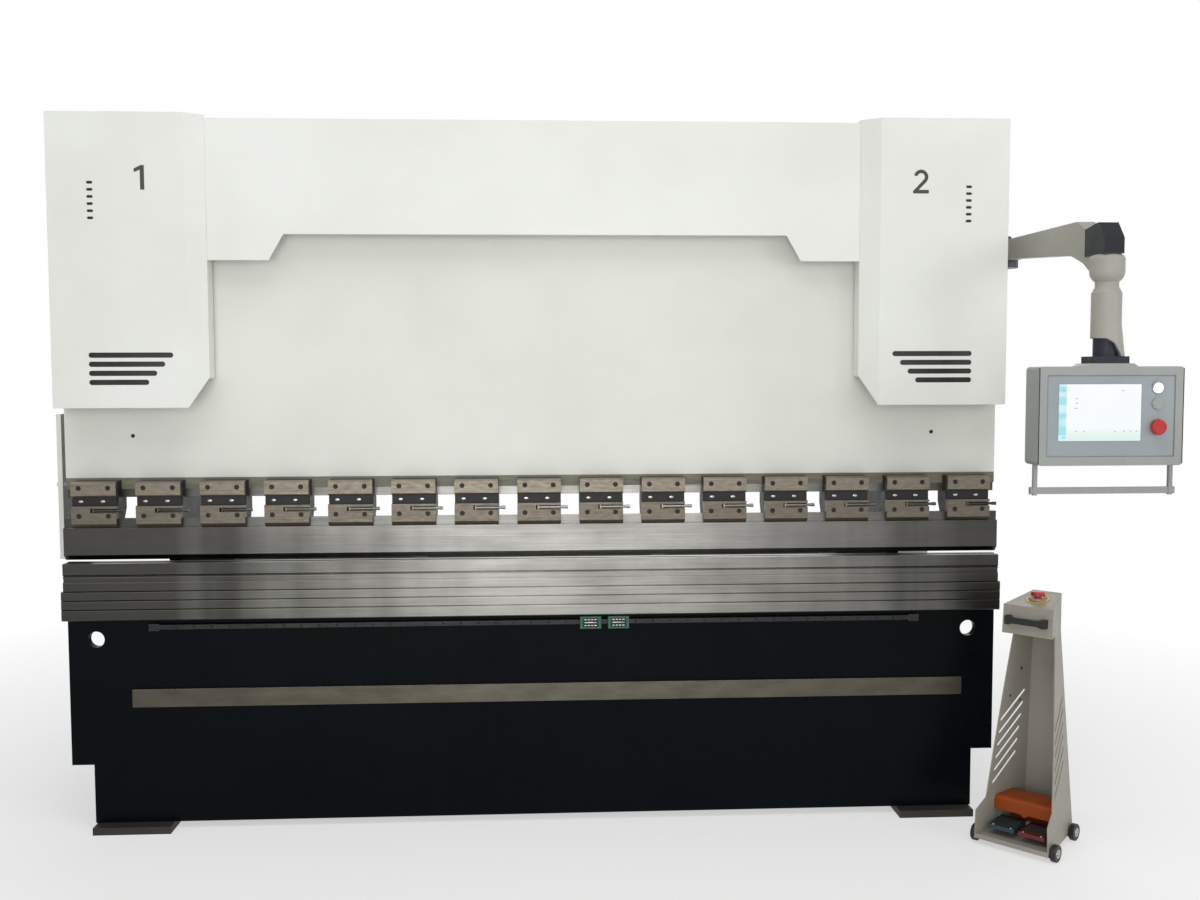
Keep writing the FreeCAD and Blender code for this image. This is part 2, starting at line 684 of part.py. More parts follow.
def foot_plates():
    """Four floor plates under the side frames and the bed."""
    front = foot_plate(FOOT_FRONT_Y, FRONT_ANCHOR_Y)
    rear = foot_plate(REAR_FOOT_FRONT_Y, REAR_ANCHOR_Y)
    return Part.makeCompound([front, rear, mirrored(front), mirrored(rear)])


# Bed

def bed_front_plate():
    """The dark front plate with stepped lower corners and two lifting holes."""
    outline = [
        (-BED_HALF, BED_TOP_Z),
        (BED_HALF, BED_TOP_Z),
        (BED_HALF, BED_NOTCH_Z),
        (BED_NOTCH_X, BED_NOTCH_Z),
        (BED_NOTCH_X, FOOT_THICK),
        (-BED_NOTCH_X, FOOT_THICK),
        (-BED_NOTCH_X, BED_NOTCH_Z),
        (-BED_HALF, BED_NOTCH_Z),
    ]
    plate = prism_xz(outline, BED_FRONT_Y, BED_CORE_FRONT_Y)
    for side in (-1, 1):
        start = Vector(side * LIFT_HOLE_X, BED_FRONT_Y - 1, LIFT_HOLE_Z)
        plate = plate.cut(rod(start, Vector(0, 1, 0), BED_FRONT_THICK + 2, LIFT_HOLE_R))
    return plate


def bed_core():
    """The load-carrying beam behind the front plate."""
    return box(-BED_CORE_HALF, BED_CORE_HALF, BED_CORE_FRONT_Y, BED_REAR_Y, BED_CORE_BOTTOM_Z, BED_TOP_Z)


def front_bar():
    """The bright flat bar on the bed's front."""
    front = BED_FRONT_Y - BAR_THICK
    return box(BAR_LEFT_X, BAR_RIGHT_X, front, BED_FRONT_Y, BAR_LOW_Z, BAR_LOW_Z + BAR_HEIGHT)


def front_rail():
    """The profiled linear rail with a stop block at each end."""
    mid = RAIL_LOW_Z + RAIL_HEIGHT / 2
    front = BED_FRONT_Y - RAIL_THICK
    waist_front = front + RAIL_THICK * 0.35
    waist_back = front + RAIL_THICK * 0.6
    half = RAIL_HEIGHT / 2
    outline = [
        (BED_FRONT_Y, mid - half),
        (waist_back, mid - half),
        (waist_front, mid - half + RAIL_WAIST),
        (front + RAIL_WAIST, mid - half),
        (front, mid - half + RAIL_WAIST),
        (front, mid + half - RAIL_WAIST),
        (front + RAIL_WAIST, mid + half),
        (waist_front, mid + half - RAIL_WAIST),
        (waist_back, mid + half),
        (BED_FRONT_Y, mid + half),
    ]
    pieces = [prism_yz(outline, -RAIL_HALF, RAIL_HALF)]
    for side in (-1, 1):
        x0 = min(side * RAIL_HALF, side * (RAIL_HALF + STOP_LENGTH))
        pieces.append(box(x0, x0 + STOP_LENGTH, front - STOP_EXTRA, BED_FRONT_Y,
                          RAIL_LOW_Z - STOP_EXTRA, RAIL_LOW_Z + RAIL_HEIGHT + STOP_EXTRA))
    return joined(pieces)


def rail_carriage(centre_x):
    """A ball carriage that wraps the front rail."""
    mid = RAIL_LOW_Z + RAIL_HEIGHT / 2
    front = BED_FRONT_Y - RAIL_THICK
    inner_front = front - CARRIAGE_GAP
    outer_front = inner_front - CARRIAGE_THICK
    rear = front + CARRIAGE_WRAP
    low = mid - CARRIAGE_HEIGHT / 2
    high = mid + CARRIAGE_HEIGHT / 2
    x0 = centre_x - CARRIAGE_LENGTH / 2
    x1 = centre_x + CARRIAGE_LENGTH / 2
    block = box(x0, x1, outer_front, rear, low, high)
    half = RAIL_HEIGHT / 2 + CARRIAGE_GAP
    groove = box(x0 - 1, x1 + 1, inner_front, rear + 1, mid - half, mid + half)
    return block.cut(groove)


# Crowning table and die

def bevelled_bar(half, z0, z1):
    """A long bar of the table's depth with small bevels on its long edges."""
    y0 = STACK_FRONT_Y
    y1 = STACK_REAR_Y
    e = EDGE_BEVEL
    outline = [
        (y0 + e, z0),
        (y1 - e, z0),
        (y1, z0 + e),
        (y1, z1 - e),
        (y1 - e, z1),
        (y0 + e, z1),
        (y0, z1 - e),
        (y0, z0 + e),
    ]
    return prism_yz(outline, -half, half)


def die_holder():
    """The bar under the die with the ledge that the die is held against."""
    bar = bevelled_bar(DIE_HALF, UPPER_WEDGE_TOP_Z, HOLDER_TOP_Z)
    ledge_front = DIE_REAR_Y + SEAT_GAP
    ledge = box(-DIE_HALF, DIE_HALF, ledge_front, ledge_front + HOLDER_LEDGE_T,
                HOLDER_TOP_Z - EDGE_BEVEL, HOLDER_TOP_Z + HOLDER_LEDGE_H)
    return joined([bar, ledge])


def die_block():
    """The four-way die with a V in its top, front and rear, and two pins in each end."""
    front = STACK_FRONT_Y
    rear = DIE_REAR_Y
    top = DIE_TOP_Z
    low = HOLDER_TOP_Z
    mid_y = PUNCH_LINE_Y
    front_z = top - FRONT_V_DROP
    rear_z = (top + low) / 2 + HOLDER_LEDGE_H / 2
    outline = [
        (front + DIE_FOOT_STEP, low),
        (rear, low),
        (rear, rear_z - REAR_V / 2),
        (rear - REAR_V / 2, rear_z),
        (rear, rear_z + REAR_V / 2),
        (rear, top),
        (mid_y + TOP_V / 2, top),
        (mid_y, top - TOP_V / 2),
        (mid_y - TOP_V / 2, top),
        (front, top),
        (front, front_z + FRONT_V / 2),
        (front + FRONT_V / 2, front_z),
        (front, front_z - FRONT_V / 2),
        (front, low + DIE_FOOT_H),
        (front + DIE_FOOT_STEP, low + DIE_FOOT_H),
    ]
    pieces = [prism_yz(outline, -DIE_HALF, DIE_HALF)]
    mid_z = (front_z + top) / 2
    for side in (-1, 1):
        for z in (mid_z, mid_z - DIE_PIN_PITCH):
            pieces.append(rod(Vector(side * DIE_HALF, mid_y, z), Vector(side, 0, 0), DIE_PIN_OUT, DIE_PIN_R))
    return joined(pieces)


# Ram and punch

def ram_plate():
    """The ram: a full-width lower part and a narrower neck behind the header."""
    half = RAM_HALF
    neck = RAM_NECK_HALF
    outline = [
        (-half, RAM_BOTTOM_Z),
        (half, RAM_BOTTOM_Z),
        (half, RAM_SHOULDER_Z),
        (neck, RAM_SHOULDER_Z),
        (neck, RAM_TOP_Z),
        (-neck, RAM_TOP_Z),
        (-neck, RAM_SHOULDER_Z),
        (-half, RAM_SHOULDER_Z),
    ]
    plate = prism_xz(outline, 0, RAM_THICK)

    def inner_corner(edge):
        if not runs_along(edge, Vector(0, 1, 0)):
            return False
        point = edge.CenterOfMass
        at_neck = abs(abs(point.x) - neck) < 0.01
        return at_neck and abs(point.z - RAM_SHOULDER_Z) < 0.01

    return rounded(plate, RAM_CORNER_R, inner_corner)


def ram_tool_bar():
    """The ground steel bar along the ram's lower edge."""
    return box(-TOOL_BAR_HALF, TOOL_BAR_HALF, 0, RAM_THICK, TOOL_BAR_LOW_Z, RAM_BOTTOM_Z)


def punch():
    """The straight punch in equal segments."""
    tip = PUNCH_LINE_Y
    heel_z = PUNCH_SHOULDER_Z - PUNCH_HEEL_H
    outline = [
        (TANG_FRONT_Y - SEAT_GAP / 2, TANG_TOP_Z),
        (TANG_REAR_Y, TANG_TOP_Z),
        (TANG_REAR_Y, PUNCH_SHOULDER_Z),
        (PUNCH_REAR_Y, PUNCH_SHOULDER_Z),
        (PUNCH_REAR_Y, heel_z),
        (tip + PUNCH_WAIST, heel_z - PUNCH_HEEL_SLOPE),
        (tip + PUNCH_WAIST, PUNCH_TIP_Z + PUNCH_WAIST),
        (tip, PUNCH_TIP_Z),
        (PUNCH_FRONT_Y, PUNCH_TIP_Z + PUNCH_HALF),
        (PUNCH_FRONT_Y, PUNCH_SHOULDER_Z),
        (TANG_FRONT_Y - SEAT_GAP / 2, PUNCH_SHOULDER_Z),
    ]
    length = 2 * TOOL_BAR_HALF / PUNCH_SEGMENTS
    segments = []
    for index in range(PUNCH_SEGMENTS):
        x0 = -TOOL_BAR_HALF + index * length
        segments.append(prism_yz(outline, x0, x0 + length - SEGMENT_GAP))
    return Part.makeCompound(segments)


# Quick clamps

def clamp_centres():
    """The X of each clamp, the middle one on the mid-plane."""
    first = -CLAMP_PITCH * (CLAMP_COUNT - 1) / 2
    return [first + index * CLAMP_PITCH for index in range(CLAMP_COUNT)]


def clamp_body(centre_x):
    """The bracket that hangs from the ram and backs the punch's tang."""
    seat_y = TANG_REAR_Y + SEAT_GAP
    seat_z = TANG_TOP_Z + SEAT_GAP
    low = PUNCH_SHOULDER_Z + SEAT_GAP
    outline = [
        (CLAMP_PLATE_BACK_Y, CLAMP_TOP_Z),
        (0, CLAMP_TOP_Z),
        (0, TOOL_BAR_LOW_Z),
        (CLAMP_REAR_Y, TOOL_BAR_LOW_Z),
        (CLAMP_REAR_Y, TOOL_BAR_LOW_Z - CLAMP_HEEL),
        (PUNCH_REAR_Y + CLAMP_FOOT, low),
        (seat_y, low),
        (seat_y, seat_z),
        (CLAMP_PLATE_BACK_Y, seat_z),
    ]
    return prism_yz(outline, centre_x - CLAMP_WIDTH / 2, centre_x + CLAMP_WIDTH / 2)


def upper_plate(centre_x):
    """The clamp's upper face plate."""
    b = UPPER_BEVEL
    outline = [
        (CLAMP_PLATE_BACK_Y, UPPER_PLATE_LOW_Z),
        (CLAMP_PLATE_BACK_Y, CLAMP_TOP_Z),
        (CLAMP_FRONT_Y + b, CLAMP_TOP_Z),
        (CLAMP_FRONT_Y, CLAMP_TOP_Z - b),
        (CLAMP_FRONT_Y, UPPER_PLATE_LOW_Z + b),
        (CLAMP_FRONT_Y + b, UPPER_PLATE_LOW_Z),
    ]
    return prism_yz(outline, centre_x - CLAMP_WIDTH / 2, centre_x + CLAMP_WIDTH / 2)


def lower_plate(centre_x):
    """The clamp's lower face plate with the groove that its lever lies in."""
    b = LOWER_BEVEL
    outline = [
        (CLAMP_PLATE_BACK_Y, PUNCH_SHOULDER_Z + SEAT_GAP),
        (CLAMP_PLATE_BACK_Y, LOWER_PLATE_TOP_Z),
        (CLAMP_FRONT_Y, LOWER_PLATE_TOP_Z),
        (CLAMP_FRONT_Y, PUNCH_SHOULDER_Z + b),
        (CLAMP_FRONT_Y + b, PUNCH_SHOULDER_Z + SEAT_GAP),
    ]
    right = centre_x + CLAMP_WIDTH / 2
    plate = prism_yz(outline, centre_x - CLAMP_WIDTH / 2, right)
    pivot_x = centre_x + LEVER_PIVOT_X
    pocket_r = GROOVE_H / 2
    z0 = GROOVE_Z - GROOVE_H / 2
    groove_back = CLAMP_FRONT_Y + GROOVE_DEPTH
    groove = box(pivot_x, right + 1, CLAMP_FRONT_Y - 1, groove_back, z0, z0 + GROOVE_H)
    mouth = box(pivot_x - pocket_r, pivot_x + 1, CLAMP_FRONT_Y - 1, LEVER_AXIS_Y, z0, z0 + GROOVE_H)
    pocket = rod(Vector(pivot_x, LEVER_AXIS_Y, z0), Vector(0, 0, 1), GROOVE_H, pocket_r)
    bore_low = z0 - LEVER_PIN_BITE
    bore = rod(Vector(pivot_x, LEVER_AXIS_Y, bore_low), Vector(0, 0, 1),
               GROOVE_H + 2 * LEVER_PIN_BITE, LEVER_PIN_R + PIN_CLEARANCE)
    return plate.cut([groove, mouth, pocket, bore])


def clamp_insert(centre_x):
    """The dark wedge block between the clamp's two face plates."""
    half = CLAMP_WIDTH / 2 - INSERT_SIDE_GAP
    return box(centre_x - half, centre_x + half, INSERT_FRONT_Y,
               CLAMP_PLATE_BACK_Y, LOWER_PLATE_TOP_Z, UPPER_PLATE_LOW_Z)


def clamp_lever(centre_x):
    """A round lever on its pivot pin, at rest in the groove."""
    pivot_x = centre_x + LEVER_PIVOT_X
    axis = Vector(pivot_x, LEVER_AXIS_Y, GROOVE_Z)
    bar = rod(axis, Vector(1, 0, 0), LEVER_REACH, LEVER_R)
    knob_start = axis.add(Vector(LEVER_REACH - KNOB_LENGTH, 0, 0))
    knob = rod(knob_start, Vector(1, 0, 0), KNOB_LENGTH, KNOB_R)
    hub_low = axis.sub(Vector(0, 0, LEVER_HUB_R))
    hub = rod(hub_low, Vector(0, 0, 1), 2 * LEVER_HUB_R, LEVER_HUB_R)
    pin_half = GROOVE_H / 2 + LEVER_PIN_BITE - SEAT_GAP
    pin_low = axis.sub(Vector(0, 0, pin_half))
    pin = rod(pin_low, Vector(0, 0, 1), 2 * pin_half, LEVER_PIN_R)
    return joined([bar, knob, hub, pin])


# Cylinders and guides

def cylinder():
    """The right cylinder: square flange, barrel and cap, bored for its rod."""
    y = RAM_MID_Y
    h = CYLINDER_FLANGE_HALF
    flange = box(CYLINDER_X - h, CYLINDER_X + h, y - CYLINDER_R, FRAME_TOP_FRONT_Y,
                 CYLINDER_LOW_Z, CYLINDER_LOW_Z + CYLINDER_FLANGE_H)
    foot = Vector(CYLINDER_X, y, CYLINDER_LOW_Z)
    barrel = rod(foot, Vector(0, 0, 1), CYLINDER_TOP_Z - CYLINDER_LOW_Z, CYLINDER_R)
    cap_low = Vector(CYLINDER_X, y, CYLINDER_TOP_Z - CYLINDER_CAP_H)
    cap = rod(cap_low, Vector(0, 0, 1), CYLINDER_CAP_H, CYLINDER_R + CYLINDER_CAP_EXTRA)
    bore_length = CYLINDER_TOP_Z - CYLINDER_LOW_Z - CYLINDER_CAP_H
    bore = rod(foot.sub(Vector(0, 0, 1)), Vector(0, 0, 1), bore_length, ROD_R + ROD_CLEARANCE)
    return joined([flange, barrel, cap]).cut(bore)


def cylinders():
    """Both cylinders."""
    right = cylinder()
    return Part.makeCompound([right, mirrored(right)])


def cylinder_rods():
    """The two piston rods, standing on the ram's shoulders."""
    start = Vector(CYLINDER_X, RAM_MID_Y, RAM_SHOULDER_Z)
    length = CYLINDER_LOW_Z + ROD_REACH - RAM_SHOULDER_Z
    right = rod(start, Vector(0, 0, 1), length, ROD_R)
    return Part.makeCompound([right, mirrored(right)])


def ram_guides():
    """Guide rails between the side frames' front edges and the ram's rear face."""
    right = box(FRAME_MID_X - GUIDE_HALF, FRAME_MID_X + GUIDE_HALF, RAM_THICK + GUIDE_GAP, FRAME_TOP_FRONT_Y,
                GUIDE_LOW_Z, GUIDE_TOP_Z)
    return Part.makeCompound([right, mirrored(right)])


# Covers and header

def cover():
    """The cylinder cover for the right side, folded from sheet and open below."""
    t = SHEET
    outer = [
        (COVER_OUT_X, COVER_FRONT_Y),
        (COVER_EDGE_X, COVER_FRONT_Y),
        (COVER_IN_X, HEADER_FRONT_Y),
        (COVER_IN_X, COVER_REAR_Y),
        (COVER_OUT_X, COVER_REAR_Y),
    ]
    slope = t * 0.73
    inner = [
        (COVER_OUT_X - t, COVER_FRONT_Y + t),
        (COVER_EDGE_X + slope, COVER_FRONT_Y + t),
        (COVER_IN_X + t, HEADER_FRONT_Y + slope),
        (COVER_IN_X + t, COVER_REAR_Y - t),
        (COVER_OUT_X - t, COVER_REAR_Y - t),
    ]
    shell = prism_xy(outer, COVER_LOW_Z, COVER_TOP_Z)
    hollow = prism_xy(inner, COVER_LOW_Z - 1, COVER_TOP_Z - t)
    lip = box(COVER_EDGE_X + t, COVER_OUT_X - t, COVER_FRONT_Y + t, COVER_FRONT_Y + COVER_LIP,
              COVER_LOW_Z, COVER_LOW_Z + t)
    shell = shell.cut(hollow).fuse(lip)
    inner_opening = box(COVER_IN_X - 1, COVER_IN_X + t + 1, COVER_RETURN_Y, COVER_REAR_Y - t,
                        COVER_LOW_Z - 1, COVER_TOP_Z - t)
    corner = prism_xz([
        (COVER_IN_X - 1, COVER_LOW_Z - 1),
        (COVER_EDGE_X, COVER_LOW_Z - 1),
        (COVER_EDGE_X, COVER_LOW_Z),
        (COVER_IN_X, COVER_CHAMFER_Z),
        (COVER_IN_X - 1, COVER_CHAMFER_Z),
    ], COVER_FRONT_Y - 1, COVER_RETURN_Y + 1)
    ram_slot = box(COVER_OUT_X - t - 1, COVER_OUT_X + 1, -RAM_SLOT_MARGIN, RAM_THICK + RAM_SLOT_MARGIN,
                   COVER_LOW_Z - 1, RAM_SLOT_TOP_Z)
    frame_slot = box(FRAME_IN_X - SEAT_GAP, FRAME_OUT_X + SEAT_GAP, COVER_REAR_Y - t - 1, COVER_REAR_Y + 1,
                     COVER_LOW_Z - 1, FRAME_TOP_Z + SEAT_GAP)
    return shell.cut([inner_opening, corner, ram_slot, frame_slot] + cover_slots())


def right_cover():
    """The right cover, with the hole that the pendant's support passes through."""
    gap = SUPPORT_HOLE_GAP
    hole = box(COVER_OUT_X - SHEET - 1, COVER_OUT_X + 1, PENDANT_PIVOT_Y - SUPPORT_HALF - gap,
               PENDANT_PIVOT_Y + SUPPORT_HALF + gap, ARM_EYE_LOW_Z - SUPPORT_LEDGE - gap, ARM_EYE_TOP_Z + gap)
    return cover().cut(hole)


def cover_slots():
    """Cutters for the small and the long vent slots in the cover's front."""
    y0 = COVER_FRONT_Y - 1
    depth = SHEET + 2
    cutters = []
    for row in range(SMALL_SLOT_COUNT):
        z = SMALL_SLOT_TOP_Z - row * SMALL_SLOT_PITCH
        cutters.append(slot_cutter(SMALL_SLOT_X - SMALL_SLOT_W, SMALL_SLOT_X, z, SMALL_SLOT_H, y0, depth))
    for row in range(LONG_SLOT_COUNT):
        z = LONG_SLOT_TOP_Z - row * LONG_SLOT_PITCH
        length = LONG_SLOT_LENGTH - row * LONG_SLOT_STEP
        cutters.append(slot_cutter(LONG_SLOT_OUT_X - length, LONG_SLOT_OUT_X, z, LONG_SLOT_H, y0, depth))
    return cutters


def slot_cutter(x0, x1, z, height, y0, depth):
    """A slot with round ends, cut along Y."""
    r = height / 2
    across = Vector(0, 1, 0)
    left = rod(Vector(x0 + r, y0, z), across, depth, r)
    right = rod(Vector(x1 - r, y0, z), across, depth, r)
    return joined([box(x0 + r, x1 - r, y0, y0 + depth, z - r, z + r), left, right])


def header_panel():
    """The sheet between the covers, with its raised lower edge and top panel."""
    t = SHEET
    half = COVER_IN_X - SEAT_GAP
    outline = [
        (-half, HEADER_TOP_Z),
        (half, HEADER_TOP_Z),
        (half, HEADER_LOW_Z),
        (HEADER_STEP_X, HEADER_LOW_Z),
        (HEADER_WINDOW_X, HEADER_WINDOW_Z),
        (-HEADER_WINDOW_X, HEADER_WINDOW_Z),
        (-HEADER_STEP_X, HEADER_LOW_Z),
        (-half, HEADER_LOW_Z),
    ]
    front = prism_xz(outline, HEADER_FRONT_Y, HEADER_FRONT_Y + t)
    top = box(-half, half, HEADER_FRONT_Y, COVER_REAR_Y, HEADER_TOP_Z - t, HEADER_TOP_Z)
    rear = box(-half, half, COVER_REAR_Y - t, COVER_REAR_Y, HEADER_TOP_Z - HEADER_FLANGE * 4, HEADER_TOP_Z)
    flange_rear = HEADER_FRONT_Y + HEADER_FLANGE
    pieces = [front, top, rear]
    pieces.append(box(-HEADER_WINDOW_X, HEADER_WINDOW_X, HEADER_FRONT_Y, flange_rear,
                      HEADER_WINDOW_Z, HEADER_WINDOW_Z + t))
    for side in (-1, 1):
        x0 = min(side * HEADER_STEP_X, side * half)
        x1 = max(side * HEADER_STEP_X, side * half)
        pieces.append(box(x0, x1, HEADER_FRONT_Y, flange_rear, HEADER_LOW_Z, HEADER_LOW_Z + t))
    return joined(pieces)


# Hydraulics and rear

def top_tie_plate():
    """The plate that ties the side frames behind the ram."""
    return box(-FRAME_IN_X, FRAME_IN_X, TIE_FRONT_Y, TIE_FRONT_Y + TIE_THICK, TIE_LOW_Z, FRAME_TOP_Z)


def oil_tank():
    """The oil tank welded between the side frames, with a filler neck."""
    tank = box(-FRAME_IN_X, FRAME_IN_X, TANK_FRONT_Y, TANK_REAR_Y, TANK_LOW_Z, TANK_TOP_Z)
    mid_y = (TANK_FRONT_Y + TANK_REAR_Y) / 2
    filler = rod(Vector(-MOTOR_X, mid_y, TANK_TOP_Z), Vector(0, 0, 1), FILLER_H, FILLER_R)
    return joined([tank, filler])


def pump_motor():
    """The finned motor and its pump, on a foot on the tank."""
    y = (TANK_FRONT_Y + TANK_REAR_Y) / 2
    z = TANK_TOP_Z + MOTOR_FIN_R + MOTOR_LIFT
    along = Vector(1, 0, 0)
    body = rod(Vector(MOTOR_X, y, z), along, MOTOR_LENGTH, MOTOR_R)
    pump = rod(Vector(MOTOR_X - PUMP_LENGTH, y, z), along, PUMP_LENGTH, PUMP_R)
    foot = box(MOTOR_X + MOTOR_FOOT_INSET, MOTOR_X + MOTOR_LENGTH - MOTOR_FOOT_INSET,
               y - MOTOR_R * 0.8, y + MOTOR_R * 0.8, TANK_TOP_Z, z)
    fins = []
    pitch = MOTOR_LENGTH / (MOTOR_FIN_COUNT + 1)
    for index in range(MOTOR_FIN_COUNT):
        x = MOTOR_X + (index + 0.75) * pitch
        fins.append(rod(Vector(x, y, z), along, pitch / 2, MOTOR_FIN_R))
    return joined([body, pump, foot] + fins)


def rear_guard():
    """The slotted guard sheet between the frames at the rear."""
    half = FRAME_IN_X - SEAT_GAP
    t = SHEET
    sheet = box(-half, half, GUARD_Y, GUARD_Y + t, GUARD_LOW_Z, GUARD_TOP_Z)
    top = box(-half, half, GUARD_Y - GUARD_FLANGE, GUARD_Y + t, GUARD_TOP_Z - t, GUARD_TOP_Z)
    low = box(-half, half, GUARD_Y - GUARD_FLANGE, GUARD_Y + t, GUARD_LOW_Z, GUARD_LOW_Z + t)
    cutters = []
    for column in range(GUARD_SLOT_COLUMNS):
        x = half * 2 * ((column + 0.5) / GUARD_SLOT_COLUMNS - 0.5)
        for row in range(GUARD_SLOT_ROWS):
            z = (GUARD_LOW_Z + GUARD_TOP_Z) / 2 + (row - 1.5) * GUARD_SLOT_H * 2.5
            cutters.append(slot_cutter(x - GUARD_SLOT_W / 2, x + GUARD_SLOT_W / 2, z, GUARD_SLOT_H,
                                       GUARD_Y - 1, t + 2))
    return joined([sheet, top, low]).cut(cutters)


def electrical_cabinet():
    """The cabinet on the outer face of the right side frame."""
    body = box(FRAME_OUT_X, FRAME_OUT_X + CABINET_DEPTH - CABINET_DOOR, CABINET_FRONT_Y, CABINET_REAR_Y,
               CABINET_LOW_Z, CABINET_TOP_Z)
    inset = CABINET_DOOR_INSET
    door = box(FRAME_OUT_X + CABINET_DEPTH - CABINET_DOOR, FRAME_OUT_X + CABINET_DEPTH,
               CABINET_FRONT_Y + inset, CABINET_REAR_Y - inset, CABINET_LOW_Z + inset, CABINET_TOP_Z - inset)
    return joined([body, door])


def backgauge_supports():
    """Two arms with rails that carry the back gauge from the bed."""
    low = GAUGE_ARM_TOP_Z - GAUGE_ARM_H
    foot_y = BED_REAR_Y + GAUGE_GUSSET_FOOT
    outline = [
        (BED_REAR_Y, low - GAUGE_GUSSET),
        (foot_y, low - GAUGE_GUSSET),
        (foot_y + GAUGE_GUSSET, low),
        (GAUGE_ARM_REAR_Y, low),
        (GAUGE_ARM_REAR_Y, GAUGE_ARM_TOP_Z),
        (BED_REAR_Y, GAUGE_ARM_TOP_Z),
    ]
    arm = prism_yz(outline, GAUGE_ARM_X - GAUGE_ARM_HALF, GAUGE_ARM_X + GAUGE_ARM_HALF)
    rail = box(GAUGE_ARM_X - GAUGE_RAIL_HALF, GAUGE_ARM_X + GAUGE_RAIL_HALF, BED_REAR_Y + GAUGE_RAIL_INSET,
               GAUGE_ARM_REAR_Y - GAUGE_RAIL_INSET, GAUGE_ARM_TOP_Z, GAUGE_ARM_TOP_Z + GAUGE_RAIL_H)
    right = joined([arm, rail])
    return Part.makeCompound([right, mirrored(right)])


def backgauge_beam():
    """The gauge beam on its two carriages, with two stepped fingers."""
    y0 = GAUGE_BEAM_FRONT_Y
    y1 = y0 + GAUGE_BEAM_THICK
    pieces = [box(-GAUGE_BEAM_HALF, GAUGE_BEAM_HALF, y0, y1, GAUGE_BEAM_LOW_Z, GAUGE_BEAM_TOP_Z)]
    for side in (-1, 1):
        pieces.append(gauge_carriage(side * GAUGE_ARM_X, y0 - GAUGE_BLOCK_EXTRA, y1 + GAUGE_BLOCK_EXTRA))
        x = side * FINGER_X
        post = box(x - FINGER_POST_HALF, x + FINGER_POST_HALF, y0, y1, GAUGE_BEAM_TOP_Z, FINGER_TOP_Z)
        pieces.extend([post, gauge_finger(x, y1)])
    return joined(pieces)


def gauge_carriage(x, y0, y1):
    """A block on the gauge rail, grooved to fit over it."""
    gap = SEAT_GAP
    block = box(x - GAUGE_BLOCK_HALF, x + GAUGE_BLOCK_HALF, y0, y1,
                GAUGE_ARM_TOP_Z + GAUGE_BLOCK_LIFT, GAUGE_BEAM_LOW_Z)
    groove = box(x - GAUGE_RAIL_HALF - gap, x + GAUGE_RAIL_HALF + gap, y0 - 1, y1 + 1,
                 GAUGE_ARM_TOP_Z, GAUGE_ARM_TOP_Z + GAUGE_RAIL_H + gap)
    return block.cut(groove)


def gauge_finger(x, rear_y):
    """A stepped stop finger that reaches toward the die."""
    rest = FINGER_TIP_Y + FINGER_REST
    outline = [
        (FINGER_TIP_Y, FINGER_LOW_Z),
        (rear_y, FINGER_LOW_Z),
        (rear_y, FINGER_TOP_Z),
        (rest, FINGER_TOP_Z),
        (rest - FINGER_STEP, FINGER_TOP_Z - FINGER_STEP),
        (FINGER_TIP_Y, FINGER_TOP_Z - FINGER_STEP),
    ]
    return prism_yz(outline, x - FINGER_HALF, x + FINGER_HALF)


# Control pendant

def pendant_support():
    """The bracket and spindle that carry the pendant arm."""
    y0 = PENDANT_PIVOT_Y - SUPPORT_HALF
    y1 = PENDANT_PIVOT_Y + SUPPORT_HALF
    ledge_low = ARM_EYE_LOW_Z - SUPPORT_LEDGE
    beam = box(FRAME_OUT_X, SUPPORT_END_X, y0, y1, ledge_low, ARM_EYE_TOP_Z)
    ledge = box(SUPPORT_END_X - 1, PENDANT_X, y0, y1, ledge_low, ARM_EYE_LOW_Z)
    low = Vector(PENDANT_X, PENDANT_PIVOT_Y, ledge_low)
    nose = rod(low, Vector(0, 0, 1), SUPPORT_LEDGE, SUPPORT_HALF)
    spindle = rod(low, Vector(0, 0, 1), SPINDLE_TOP_Z - ledge_low, SPINDLE_R)
    return joined([beam, ledge, nose, spindle])


def line(start, end):
    """A straight edge."""
    return Part.makeLine(start, end)


def arc(start, middle, end):
    """A round edge through three points."""
    return Part.Arc(start, middle, end).toShape()


def pendant_arm():
    """The arm from its eye to the capped elbow, and the tube down to the box."""
    up = Vector(0, 0, 1)
    eye_low = Vector(PENDANT_X, PENDANT_PIVOT_Y, ARM_EYE_LOW_Z + SEAT_GAP)
    eye = rod(eye_low, up, ARM_EYE_H - SEAT_GAP, ARM_EYE_R)
    eye_bore = rod(eye_low - up, up, ARM_EYE_H + 2, SPINDLE_R + SEAT_GAP)
    foot = Vector(PENDANT_X, PENDANT_Y, TUBE_LOW_Z - 1)
    swivel_bore = rod(foot, up, SWIVEL_TOP_Z - TUBE_LOW_Z + 3, SWIVEL_R + SWIVEL_BORE_GAP)
    whole = joined([eye, arm_beam(), elbow_cap(), elbow_and_tube(), tube_flare()])
    return whole.cut([eye_bore, swivel_bore, tube_end_cutter()])


